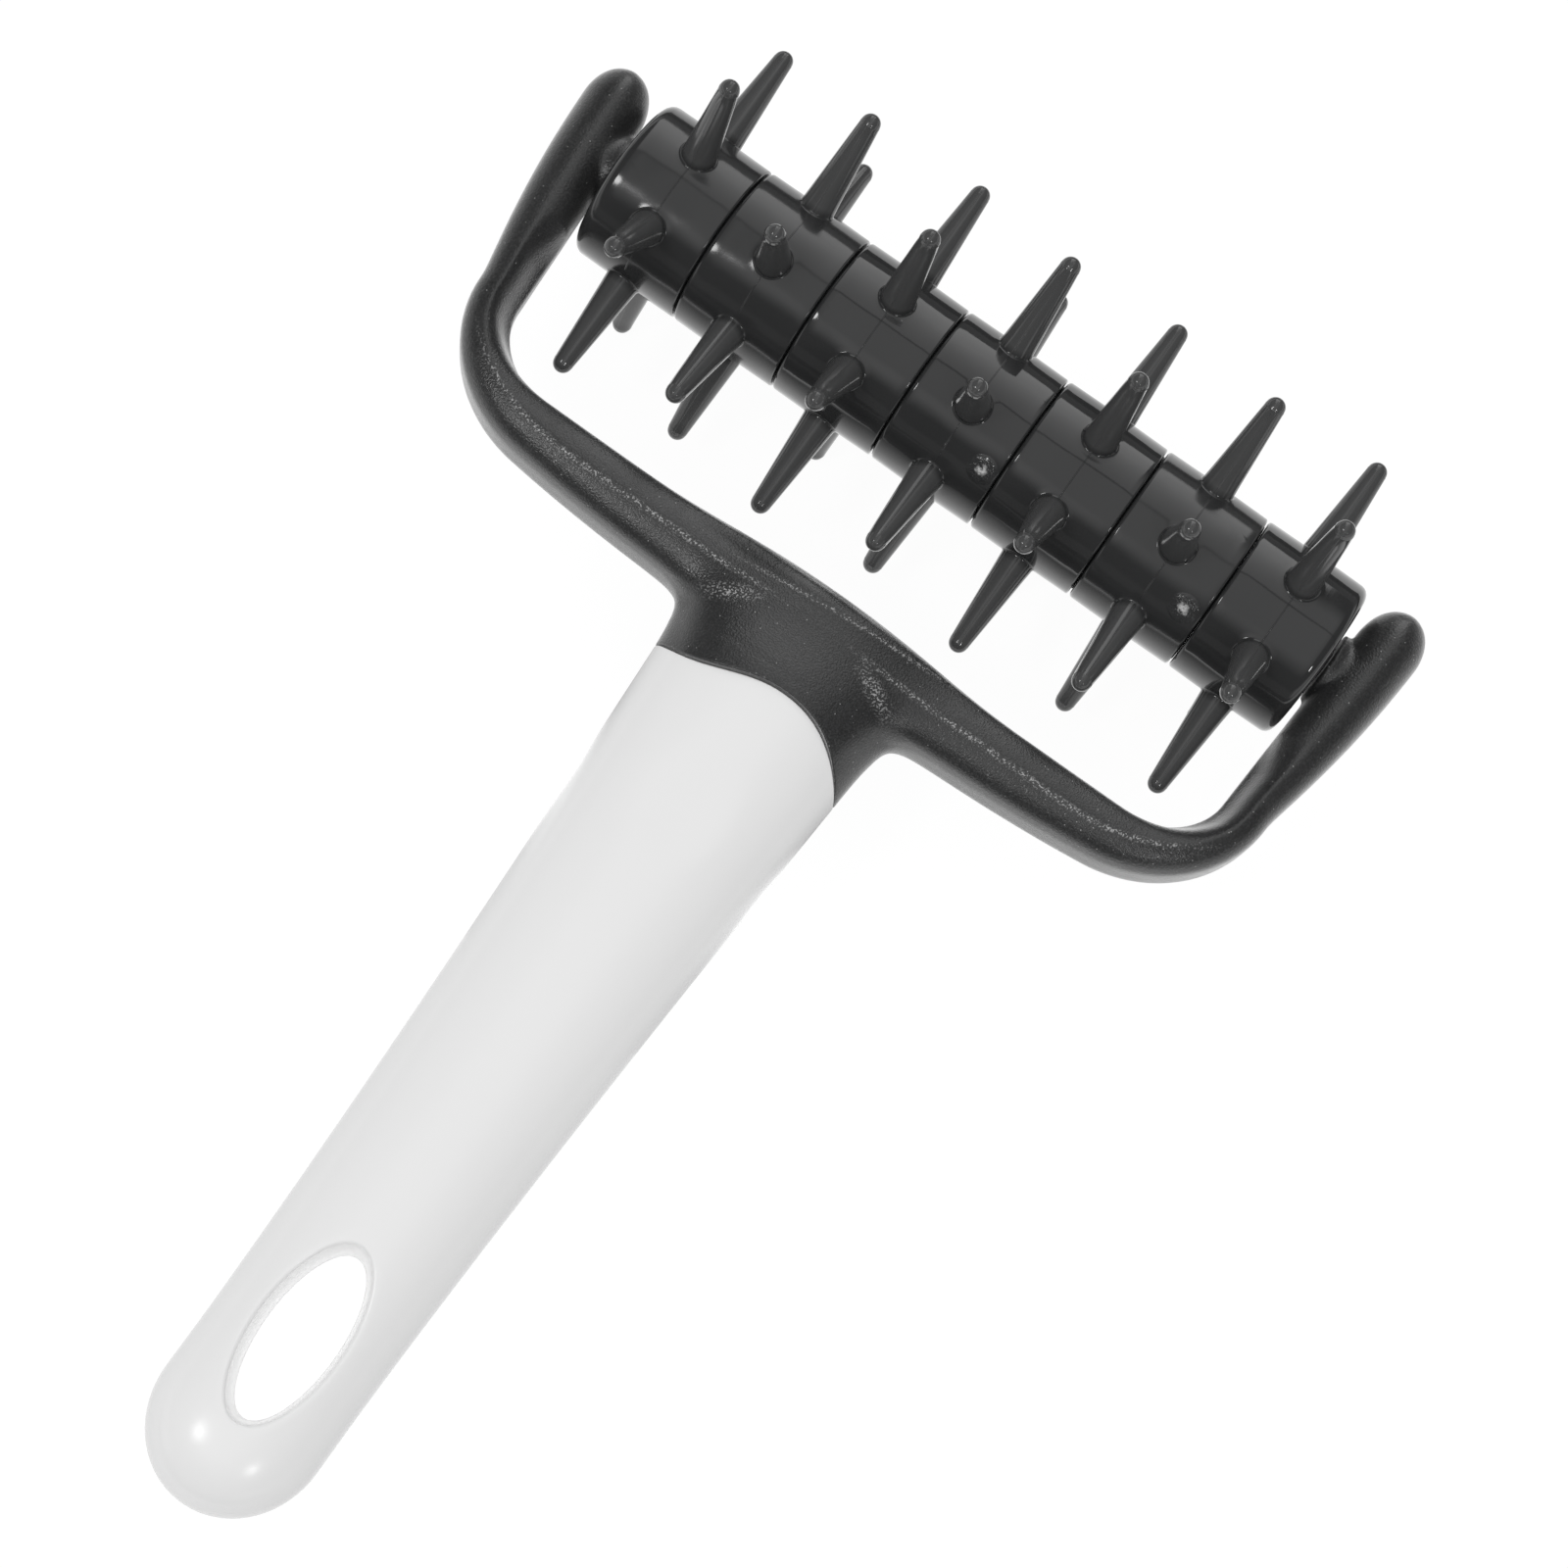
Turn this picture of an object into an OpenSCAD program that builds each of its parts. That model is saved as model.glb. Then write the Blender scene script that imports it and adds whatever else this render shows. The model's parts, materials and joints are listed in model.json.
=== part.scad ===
// Dough docker: a forked yoke with a white handle carries a roller of keyed rings with tapered pins.
// It is modelled as it lies on a table, on its lowest pins and on the end of its handle.
// The pieces are drawn in the tool's own frame, and place() then lays them on the table.
// Tool frame: X along the roller, Y from the handle towards the roller, origin on the roller's axis.

/* [Rings] */
// Distance from one ring to the next along the axle
ring_pitch = 18; // [15:0.5:24]
// Gap between neighbouring rings
ring_gap = 0.25; // [0.15:0.05:1]
// Outer diameter of the rings' barrel
barrel_d = 26.2; // [22:0.1:30]
// Rounding of a ring's edge where two rings meet
edge_r = 0.5; // [0.3:0.1:1]
// Rounding of the outer edge at each end of the roller
end_edge_r = 1.6; // [0.6:0.1:2.2]
// How far an end ring's outer edge reaches past the even spacing
end_lip = 0.4; // [0.2:0.1:1]
// Wall of the barrel round the hollow in each side of a ring
barrel_wall = 2.4; // [1.6:0.1:3]
// Wall of the hub round its square hole
hub_wall = 2; // [1.5:0.1:2.4]
// Thickness of the web between barrel and hub
web_t = 5; // [3:0.5:9]

/* [Pins] */
// Pins round each ring
pin_count = 6; // [4:1:7]
// Diameter of the circle through the ends of the pins
pins_d = 59.6; // [50:0.1:60.5]
// Diameter of a pin where it leaves the barrel
pin_root_d = 5.4; // [4.5:0.1:7]
// Radius of a pin's round end
pin_tip_r = 1.55; // [1:0.05:2]

/* [Axle] */
// Width across the axle's square shaft
axle_w = 7; // [5:0.1:8]
// Gap on each side between the shaft and a ring's square hole
key_gap = 0.12; // [0.08:0.01:0.2]
// Bevel along the shaft's four corners
axle_bevel = 0.5; // [0.3:0.1:0.8]
// Diameter of the round journal at each end of the axle
journal_d = 5; // [3.5:0.1:6]
// Length of a journal
journal_len = 4; // [3:0.1:5]
// Radial running clearance between a journal and its bore
running_gap = 0.05; // [0.02:0.01:0.09]
// Room between the shaft's shoulder and the bearing boss at each side
end_float = 0.3; // [0.2:0.05:0.5]
// Length of square shaft that stands out past the last ring at each side
shoulder_len = 0.5; // [0.4:0.1:1]

/* [Yoke] */
// Room between the circle of the pins and the crossbar
fork_room = 6.3; // [4:0.1:15]
// Depth of the crossbar at its middle, seen from above
bar_depth = 11.2; // [9.5:0.1:12]
// Depth of the crossbar where its corner begins
corner_depth = 9.1; // [8:0.1:10]
// Inside corner between crossbar and arm: its reach along the crossbar
corner_l = 12.5; // [9:0.5:16]
// Inside corner between crossbar and arm: its reach along the arm
corner_r = 10.5; // [8:0.5:13]
// Width of an arm at its narrowest, just above the corner
arm_root_w = 7; // [6:0.1:9]
// Width of an arm where its rounded tip begins
arm_tip_w = 10.1; // [9:0.1:12]
// Length of an arm's rounded tip
arm_tip_l = 6.4; // [4.5:0.1:8]
// Outward lean of an arm's inner face in degrees
arm_lean = 3.4; // [0:0.1:4]
// Distance from the end of the roller to an arm's inner face, level with the roller
arm_room = 1.7; // [1.5:0.1:5]
// How far the arm's tip reaches past the roller's axis
arm_over = 13.9; // [12:0.1:20]
// Thickness of the crossbar, up and down
bar_t = 13.4; // [12:0.1:15]
// Thickness of an arm near its tip, up and down
arm_t = 12.6; // [11.6:0.1:13.5]
// Diameter of the bearing boss on an arm's inner face
boss_d = 11.4; // [9:0.1:11.5]

/* [Neck and handle] */
// Distance from the roller's axis to the end of the handle
tool_reach = 193.3; // [180:0.1:230]
// Distance from the roller's axis to the crest of the seam between neck and handle
seam_crest = 53.2; // [52:0.1:56]
// Gap at the seam between neck and handle
seam_gap = 0.3; // [0.2:0.05:0.5]
// Width of the grip at the neck
neck_w = 35.6; // [33:0.1:40]
// Thickness of the grip at the neck
neck_t = 20.4; // [18:0.1:24]
// Width of the grip near its end
end_w = 25.6; // [23:0.1:30]
// Thickness of the grip near its end
end_t = 17.6; // [15:0.1:20]
// Length of the grip's rounded end
end_round = 13.8; // [10:0.1:16]
// Length of the straight stretch between the grip's taper and its rounded end
grip_even = 7.5; // [0:0.5:20]
// Spread of the fillet between neck and crossbar, to each side
neck_fillet_w = 4; // [2:0.1:6]
// Length of the fillet between neck and crossbar
neck_fillet_l = 7; // [4:0.1:8]

/* [Tang and socket] */
// Width of the yoke's tang inside the handle
tang_w = 22; // [16:0.5:23]
// Thickness of the tang
tang_t = 11; // [8:0.5:12]
// Length of the tang past the seam's crest
tang_len = 60; // [40:1:70]
// Gap round the tang in its socket
tang_gap = 0.12; // [0.05:0.01:0.2]
// Width of the hollow that goes on past the tang
hollow_w = 15; // [10:0.5:16]
// Thickness of the hollow that goes on past the tang
hollow_t = 8; // [6:0.5:9]
// Wall left between that hollow and the hanging hole
hollow_wall = 6; // [3:0.5:15]

/* [Hanging hole] */
// Length of the hole at its narrowest, halfway through the grip
hole_len = 26.6; // [20:0.1:30]
// Width of the hole at its narrowest
hole_w = 10.9; // [8:0.1:12]
// How much the hole's mouth is larger on every side than its middle
hole_flare = 1; // [0.5:0.1:1.5]
// Solid length between the hole and the end of the handle
hole_wall = 14.1; // [10:0.1:20]

/* [Hidden] */
$fn = 64;

// Rings on the axle, one node each
ring_count = 7;
// How far each ring has turned in the play of its square hole, as a share of that play
ring_play = [-0.9, -0.8, 0.6, 0.6, 0.15, -0.35, 0.75];
// Share of the play that a ring may use, so that it never touches the shaft
play_used = 0.85;
// Turn from one ring to the next on the square shaft
ring_step = 90;
// Sections of the grip between seam and round end, and of the round end itself
grip_steps = 14;
cap_steps = 7;
// How far round a rounded end its last section lies
last_turn = 87;
// Points round a section of the grip and of the yoke
grip_points = 32;
yoke_points = 24;
// Squareness of the grip's section, where 2 is an ellipse
grip_power = 2.4;
// Squareness of the yoke's section, across and upwards: less than 2 across gives it a soft crown
yoke_power = 1.55;
yoke_power_up = 2.6;
// Handle's clearance over the table, to keep it from cutting into it
table_gap = 0.02;
// Overrun of cuts
over = 1;
// How far joined shapes reach into each other
root = 0.4;
// Bevel of the journals' ends and of the bosses' rims
rim = 0.5;

dark = [0.26, 0.27, 0.28];
white = [0.93, 0.93, 0.92];

ring_w = ring_pitch - ring_gap;
roller_half = (ring_count - 1) / 2 * ring_pitch + ring_w / 2 + end_lip;
barrel_r = barrel_d / 2;
tip_reach = pins_d / 2 - pin_tip_r;
shaft_half = roller_half + shoulder_len;
boss_face = shaft_half + end_float;
hub_side = axle_w + 2 * key_gap;
hub_r = hub_side / sqrt(2) + hub_wall;

// Largest turn of a bevelled square shaft in its square hole, from the bevel's outer points
bevel_reach = norm([axle_w / 2, axle_w / 2 - axle_bevel]);
bevel_angle = atan2(axle_w / 2 - axle_bevel, axle_w / 2);
max_play = bevel_angle - acos(min(1, (axle_w / 2 + key_gap) / bevel_reach));
function ring_turn(i) = ring_step * (i - 1) + play_used * max_play * ring_play[i - 1];

// The roller stands with two rows of pins on the table, half a pin step apart
first_pin = -90 - 90 / pin_count;
function pin_angle(i, k) = first_pin + ring_turn(i) + 360 / pin_count * k;
pin_dips = [for (i = [1:ring_count]) for (k = [0:pin_count - 1]) -tip_reach * sin(pin_angle(i, k))];
pin_fronts = [for (i = [1:ring_count]) for (k = [0:pin_count - 1]) tip_reach * cos(pin_angle(i, k))];
axle_height = max(pin_dips) + pin_tip_r;

function signed_power(v, p) = sign(v) * pow(abs(v), p);
function superellipse(half_w, half_h, power, power_up, count) = [
    for (i = [0:count - 1]) let (a = 360 * i / count)
        [half_w * signed_power(cos(a), 2 / power), half_h * signed_power(sin(a), 2 / power_up)]];
function mix(a, b, t) = a + (b - a) * t;

// The seam between neck and handle, seen from above: a crest with a long and a short flank
seam_crest_x = 2.3;
seam_left_span = 16.3;
seam_left_fall = 3.4;
seam_right_span = 15.2;
seam_fall = 7.6;
seam_power = 2.3;
function seam_drop(x) = x < seam_crest_x
    ? seam_left_fall * (1 - cos(180 * (seam_crest_x - x) / seam_left_span)) / 2
    : seam_fall * pow((x - seam_crest_x) / seam_right_span, seam_power);
seam_half = neck_w / 2 + 2;
function seam_line(shift) = [for (i = [0:24]) let (x = mix(-seam_half, seam_half, i / 24))
    [x, -seam_crest - seam_drop(x) + shift]];

// Half the grip's width and thickness at the distance d behind the roller's axis
taper_start = seam_crest - 1.2;
taper_end = tool_reach - end_round - grip_even;
taper_power = 1.5;
function taper(d) = pow(min(1, max(0, (taper_end - d) / (taper_end - taper_start))), taper_power);
round_start = tool_reach - end_round;
function cap(d) = d <= round_start ? 1 : sqrt(max(0, 1 - pow((d - round_start) / end_round, 2)));
function grip_half_w(d) = mix(end_w, neck_w, taper(d)) / 2 * cap(d);
function grip_half_t(d) = mix(end_t, neck_t, taper(d)) / 2 * cap(d);

// The neck swells to the crossbar in an elliptic fillet, and ends in a low crest behind the crossbar's front
bar_front = pins_d / 2 + fork_room;
bar_back = bar_front + bar_depth;
fillet_start = bar_back + neck_fillet_l;
crest_front = 0.25;
crest_l = 2.7;
crest_half_w = 10;
crest_rise = 0.4;
crest_at = bar_front + crest_front + crest_l;
function fillet(d) = let (t = min(1, max(0, (fillet_start - d) / neck_fillet_l)))
    neck_fillet_w * (1 - sqrt(1 - t * t));
function crest(d) = d >= crest_at ? 1 : sqrt(1 - pow((crest_at - d) / crest_l, 2));
function neck_half_w(d) = d >= bar_back ? grip_half_w(d) + fillet(d)
    : mix(crest_half_w, grip_half_w(bar_back) + fillet(bar_back),
        max(0, d - crest_at) / (bar_back - crest_at)) * crest(d);
function ease(t) = t * t * (3 - 2 * t);
function neck_half_t(d) = d >= fillet_start ? grip_half_t(d)
    : mix(bar_t / 2 + crest_rise, grip_half_t(fillet_start),
        ease(max(0, d - crest_at) / (fillet_start - crest_at))) * crest(d);

// Distances behind the axis at which the grip and the neck have a section
cap_ds = [for (i = [1:cap_steps]) round_start + end_round * sin(last_turn * i / cap_steps)];
grip_ds = concat([for (i = [0:grip_steps]) mix(seam_crest - 2, round_start, i / grip_steps)], cap_ds);
neck_ds = concat([for (i = [3:-1:1]) crest_at - crest_l * sin(last_turn * i / 3)],
    [for (i = [0:5]) mix(crest_at, bar_back, i / 5)],
    [for (i = [1:8]) mix(bar_back, fillet_start, pow(i / 8, 1.4))],
    [for (i = [1:4]) mix(fillet_start, seam_crest + seam_fall + 3, i / 4)]);
function section(d, half_w, half_t) = [
    for (p = superellipse(half_w, half_t, grip_power, grip_power, grip_points)) [-p.x, -d, p.y]];

// The lie of the tool: the handle drops until its end meets the table
function handle_dip(a) = max([for (d = grip_ds) d * sin(a) + grip_half_t(d) * cos(a)]);
tilt_limit = 30;
tilt_rounds = 30;
function find_tilt(low, high, n) = let (mid = (low + high) / 2)
    n == 0 ? low : handle_dip(mid) + table_gap > axle_height ? find_tilt(low, mid, n - 1)
        : find_tilt(mid, high, n - 1);
tilt = find_tilt(0, tilt_limit, tilt_rounds);
handle_back = max([for (d = grip_ds) d * cos(tilt) - grip_half_t(d) * sin(tilt)]);
handle_back_low = max([for (d = grip_ds) d * cos(tilt) + grip_half_t(d) * sin(tilt)]);
front = max(pin_fronts) + pin_tip_r;
origin_shift = (max(handle_back, handle_back_low) - front) / 2;

// Half of the yoke's path: [inner point, outward normal, width, half thickness]
elbow_in = 1.5;
corner_x = roller_half + arm_room - corner_l - elbow_in;
corner_turn = 90 - arm_lean;
corner_end = atan(tan(corner_turn) * corner_l / corner_r);
function corner_point(a) = [corner_x + corner_l * sin(a), -bar_front + corner_r * (1 - cos(a))];
function corner_normal(a) = let (v = [corner_r * sin(a), -corner_l * cos(a)]) v / norm(v);
arm_start = corner_point(corner_end);
arm_dir = [cos(corner_turn), sin(corner_turn)];
arm_normal = [sin(corner_turn), -cos(corner_turn)];
arm_len = (arm_over - arm_tip_l - arm_start.y) / arm_dir.y;
tip_inner = arm_start + arm_dir * arm_len;
function bar_station(t) = [[corner_x * t, -bar_front], [0, -1],
    mix(bar_depth, corner_depth, pow(t, 3)), bar_t / 2];
function corner_station(t) = let (a = corner_end * t) [corner_point(a), corner_normal(a),
    mix(arm_root_w, corner_depth, pow(1 - t, 1.6)), mix(bar_t, arm_t, t) / 2];
function arm_station(t) = [arm_start + arm_dir * arm_len * t, arm_normal,
    mix(arm_tip_w, arm_root_w, pow(1 - t, 2)), arm_t / 2];
function tip_section(a) = let (c = tip_inner + arm_normal * arm_tip_w / 2 + arm_dir * arm_tip_l * sin(a))
    yoke_section(c, arm_normal, arm_tip_w / 2 * cos(a), arm_t / 2 * mix(1, cos(a), 0.8));
function yoke_section(c, n, half_w, half_t) = [
    for (p = superellipse(half_w, half_t, yoke_power, yoke_power_up, yoke_points))
        [c.x + n.x * p.x, c.y + n.y * p.x, p.y]];
function station_section(s) = yoke_section(s[0] + s[1] * s[2] / 2, s[1], s[2] / 2, s[3]);
half_sections = concat(
    [for (i = [0:5]) station_section(bar_station(i / 6))],
    [for (i = [0:7]) station_section(corner_station(i / 8))],
    [for (i = [0:6]) station_section(arm_station(i / 6))],
    [for (i = [1:5]) tip_section(last_turn * i / 5)]);
function mirrored(s) = [for (p = s) [-p.x, p.y, p.z]];
half_count = len(half_sections);
yoke_sections = concat([for (i = [half_count - 1:-1:1]) mirrored(half_sections[i])], half_sections);

// A closed skin over sections with equal counts of points, each clockwise seen along the march
module skin(sections) {
    n = len(sections[0]);
    last = len(sections) - 1;
    points = [for (s = sections) for (p = s) p];
    sides = [for (j = [0:last - 1]) for (i = [0:n - 1]) let (k = (i + 1) % n)
        each [[j * n + i, j * n + k, (j + 1) * n + i], [j * n + k, (j + 1) * n + k, (j + 1) * n + i]]];
    ends = [[for (i = [n - 1:-1:0]) i], [for (i = [0:n - 1]) last * n + i]];
    polyhedron(points, concat(sides, ends));
}

// From the tool's own frame to its place on the table
module place() {
    translate([0, origin_shift, axle_height]) rotate([tilt, 0, 0]) children();
}

// From the roller's frame to its place on the table
module place_roller() {
    translate([0, origin_shift, axle_height]) children();
}

module along_x(length) {
    rotate([0, 90, 0]) translate([0, 0, -length / 2]) children();
}

// Everything behind the seam, where the handle is
module behind_seam() {
    linear_extrude(height = 2 * neck_t, center = true)
        polygon(concat(seam_line(-seam_gap / 2),
            [[seam_half, -tool_reach - over], [-seam_half, -tool_reach - over]]));
}

// Everything before the seam, where the neck is
module before_seam() {
    linear_extrude(height = 2 * neck_t, center = true)
        polygon(concat(seam_line(seam_gap / 2), [[seam_half, 0], [-seam_half, 0]]));
}

// The tang starts inside the neck, ahead of the seam's crest
tang_lap = 10;
module tang(gap) {
    y = -seam_crest - tang_len - gap;
    translate([-tang_w / 2 - gap, y, -tang_t / 2 - gap])
        cube([tang_w + 2 * gap, tang_len + tang_lap + gap, tang_t + 2 * gap]);
}

module bearing_boss() {
    depth = arm_room + arm_tip_w / 2;
    translate([boss_face, 0, 0]) rotate([0, 90, 0]) rotate_extrude()
        polygon([[0, 0], [boss_d / 2 - rim, 0], [boss_d / 2, rim], [boss_d / 2, depth], [0, depth]]);
}

module bearing_bore() {
    mouth = boss_face - over;
    translate([mouth, 0, 0]) rotate([0, 90, 0])
        cylinder(h = over + journal_len + end_float, r = journal_d / 2 + running_gap);
}

module yoke() color(dark) place() difference() {
    union() {
        skin(yoke_sections);
        intersection() {
            skin([for (d = neck_ds) section(d, neck_half_w(d), neck_half_t(d))]);
            before_seam();
        }
        tang(0);
        bearing_boss();
        mirror([1, 0, 0]) bearing_boss();
    }
    bearing_bore();
    mirror([1, 0, 0]) bearing_bore();
}

hole_y = -(tool_reach - hole_wall - hole_len / 2);
module hanging_hole() {
    depth = end_t;
    levels = [-1.2, -1, -0.8, -0.4, 0, 0.4, 0.8, 1, 1.2];
    skin([for (level = levels) let (z = level * depth / 2, flare = hole_flare * pow(abs(level), 2.2))
        [for (p = superellipse(hole_w / 2 + flare, hole_len / 2 + flare, 2, 2, grip_points))
            [-p.x, hole_y + p.y, z]]]);
}

module handle_grip() color(white) place() difference() {
    intersection() {
        skin([for (d = grip_ds) section(d, grip_half_w(d), grip_half_t(d))]);
        behind_seam();
    }
    tang(tang_gap);
    hollow_end = -hole_y - hole_len / 2 - hollow_wall;
    translate([-hollow_w / 2, -hollow_end, -hollow_t / 2])
        cube([hollow_w, hollow_end - seam_crest, hollow_t]);
    hanging_hole();
}

module bevelled_shaft() {
    h = axle_w / 2;
    b = h - axle_bevel;
    along_x(2 * shaft_half) linear_extrude(height = 2 * shaft_half)
        polygon([[h, b], [b, h], [-b, h], [-h, b], [-h, -b], [-b, -h], [b, -h], [h, -b]]);
}

module journals() {
    r = journal_d / 2;
    length = 2 * (boss_face + journal_len);
    along_x(length) rotate_extrude()
        polygon([[0, 0], [r - rim, 0], [r, rim], [r, length - rim], [r - rim, length], [0, length]]);
}

module axle() color(dark) place_roller() union() {
    bevelled_shaft();
    journals();
}

// A quarter round of a profile's corner at [r, x]; dir_x says which way the ring's end lies
function corner_arc(r, x, size, dir_x) = [for (a = [0:15:90]) let (b = dir_x < 0 ? a : 90 - a)
    [r - size + size * sin(b), x - dir_x * size + dir_x * size * cos(b)]];

// A barrel along X that reaches from low to high of the ring's middle, with its two edges rounded
module barrel(low, high, low_r, high_r) {
    rotate([0, 90, 0]) rotate_extrude() polygon(concat([[0, low]], corner_arc(barrel_r, low, low_r, -1),
        corner_arc(barrel_r, high, high_r, 1), [[0, high]]));
}

// The hollow in a ring's high side, between barrel and hub
module side_pocket() {
    outer = barrel_r - barrel_wall;
    far = ring_w / 2 + end_lip + over;
    rotate([0, 90, 0]) rotate_extrude()
        polygon([[hub_r, web_t / 2], [outer, web_t / 2], [outer, far], [hub_r, far]]);
}

module pin() {
    union() {
        axis_r = pin_tip_r + (pin_root_d / 2 - pin_tip_r) * tip_reach / (tip_reach - barrel_r);
        cylinder(h = tip_reach, r1 = axis_r, r2 = pin_tip_r);
        translate([0, 0, tip_reach]) sphere(r = pin_tip_r);
    }
}

// One ring: an end ring reaches a little farther out and has a rounder outer edge
module ring(i) {
    low_lip = i == 1 ? end_lip : 0;
    high_lip = i == ring_count ? end_lip : 0;
    low_r = i == 1 ? end_edge_r : edge_r;
    high_r = i == ring_count ? end_edge_r : edge_r;
    pin_root = barrel_r - barrel_wall + root;
    translate([(i - (ring_count + 1) / 2) * ring_pitch, 0, 0]) rotate([ring_turn(i), 0, 0]) difference() {
        union() {
            difference() {
                barrel(-ring_w / 2 - low_lip, ring_w / 2 + high_lip, low_r, high_r);
                side_pocket();
                mirror([1, 0, 0]) side_pocket();
            }
            for (k = [0:pin_count - 1]) rotate([first_pin + 360 / pin_count * k, 0, 0])
                rotate([-90, 0, 0]) difference() {
                    pin();
                    translate([-barrel_r, -barrel_r, -over]) cube([barrel_d, barrel_d, pin_root + over]);
                }
        }
        cube([ring_pitch + 2 * (end_lip + over), hub_side, hub_side], center = true);
    }
}

module roller_wheel(i) color(dark) place_roller() ring(i);

yoke();
handle_grip();
axle();
roller_wheel(1);  // roller_wheel_1
roller_wheel(2);  // roller_wheel_2
roller_wheel(3);  // roller_wheel_3
roller_wheel(4);  // roller_wheel_4
roller_wheel(5);  // roller_wheel_5
roller_wheel(6);  // roller_wheel_6
roller_wheel(7);  // roller_wheel_7
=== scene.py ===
import json
import math
import bmesh
import bpy
import numpy as np
from mathutils import Euler, Matrix, Vector


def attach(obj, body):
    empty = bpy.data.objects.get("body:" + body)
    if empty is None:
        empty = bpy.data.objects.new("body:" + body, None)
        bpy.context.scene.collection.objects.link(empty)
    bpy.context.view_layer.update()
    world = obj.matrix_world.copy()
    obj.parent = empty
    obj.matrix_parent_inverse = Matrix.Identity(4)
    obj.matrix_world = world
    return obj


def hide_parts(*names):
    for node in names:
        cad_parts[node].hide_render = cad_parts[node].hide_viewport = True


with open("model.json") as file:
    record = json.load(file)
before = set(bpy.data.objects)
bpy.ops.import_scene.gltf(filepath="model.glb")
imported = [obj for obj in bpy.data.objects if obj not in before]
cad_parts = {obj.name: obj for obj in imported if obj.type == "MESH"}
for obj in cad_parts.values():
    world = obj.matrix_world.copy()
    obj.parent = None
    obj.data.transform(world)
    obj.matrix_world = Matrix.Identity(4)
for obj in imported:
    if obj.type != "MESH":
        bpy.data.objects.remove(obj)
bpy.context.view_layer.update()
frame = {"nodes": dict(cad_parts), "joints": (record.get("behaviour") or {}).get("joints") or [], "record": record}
joint = frame["joints"][0]
hole = frame["record"]["mounts"][0]
tilt = math.atan2(-hole["axis"][1], hole["axis"][2])
# The tool's own frame: its origin is the middle of the roller's axis, and its Y axis runs along the handle
TOOL = Matrix.Translation(Vector(joint["pos_m"])) @ Matrix.Rotation(tilt, 4, "X")
MM = 0.001


# Materials
class Nodes:
    """A few short calls for building a node tree."""

    def __init__(self, name, world=False):
        store = bpy.data.worlds if world else bpy.data.materials
        self.mat = store.new(name)
        self.mat.use_nodes = True
        self.tree = self.mat.node_tree
        if world:
            self.tree.nodes.clear()
        else:
            self.bsdf = self.tree.nodes["Principled BSDF"]
        self.where = self.add("ShaderNodeTexCoord").outputs["Generated" if world else "Object"]

    def add(self, kind, inputs=None, **settings):
        n = self.tree.nodes.new(kind)
        for k, v in settings.items():
            setattr(n, k, v)
        for k, v in (inputs or {}).items():
            self.put(n.inputs[k], v)
        return n

    def put(self, socket, v):
        if isinstance(v, bpy.types.NodeSocket):
            self.tree.links.new(v, socket)
        else:
            socket.default_value = v

    def shade(self, **sockets):
        """Puts values on the shader's own sockets, whose names are written with low lines."""
        for k, v in sockets.items():
            self.put(self.bsdf.inputs["IOR" if k == "ior" else k.replace("_", " ").title()], v)
        return self.mat

    def noise(self, scale, detail=2.0, where=None):
        inputs = {"Vector": where or self.where, "Scale": scale, "Detail": detail}
        return self.add("ShaderNodeTexNoise", inputs).outputs["Fac"]

    def spread(self, value, a, b, low, high):
        inputs = {"Value": value, "From Min": a, "From Max": b, "To Min": low, "To Max": high}
        return self.add("ShaderNodeMapRange", inputs).outputs["Result"]

    def math(self, operation, a, b=0.0):
        return self.add("ShaderNodeMath", {0: a, 1: b}, operation=operation).outputs[0]

    def plus(self, a, b):
        return self.math("ADD", a, b)

    def minus(self, a, b):
        return self.math("SUBTRACT", a, b)

    def times(self, a, b):
        return self.math("MULTIPLY", a, b)

    def most(self, a, b):
        return self.math("MAXIMUM", a, b)

    def size(self, a):
        return self.math("ABSOLUTE", a)

    def axes(self, place):
        return self.add("ShaderNodeSeparateXYZ", {0: place}).outputs

    def point(self, x, y, z):
        return self.add("ShaderNodeCombineXYZ", {0: x, 1: y, 2: z}).outputs[0]

    def from_roller(self):
        """The three parts of a point's place from the middle of the roller's axis."""
        shift = self.add("ShaderNodeVectorMath", {0: self.where, 1: joint["pos_m"]}, operation="SUBTRACT")
        return self.axes(shift.outputs[0])

    def distance(self, a, b):
        return self.add("ShaderNodeVectorMath", {0: a, 1: b}, operation="DISTANCE").outputs["Value"]

    def band(self, value, centre, core, edge):
        """1 within core of the centre, falling to 0 at edge."""
        return self.spread(self.size(self.minus(value, centre)), core, edge, 1, 0)

    def specks(self, scale, radius, edge, strength, share, where=None):
        """Small round specks in some of the cells of a random pattern."""
        cells = self.add("ShaderNodeTexVoronoi", {"Vector": where or self.where, "Scale": scale}).outputs
        dot = self.spread(cells["Distance"], radius, edge, strength, 0)
        chance = self.add("ShaderNodeSeparateColor", {0: cells["Color"]}).outputs[0]
        return self.times(dot, self.math("GREATER_THAN", chance, share))

    def blend(self, fac, a, b):
        n = self.add("ShaderNodeMix", data_type="RGBA")
        for k, v in ((0, fac), (6, a), (7, b)):
            self.put(n.inputs[k], v)
        return n.outputs[2]

    def bump(self, height, strength, distance, normal=None):
        n = self.add("ShaderNodeBump", {"Height": height, "Strength": strength, "Distance": distance})
        if normal is not None:
            self.put(n.inputs["Normal"], normal)
        return n.outputs["Normal"]


def rgb(r, g, b):
    return (r, g, b, 1.0)


def grey(v):
    return rgb(v, v, v)


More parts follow.
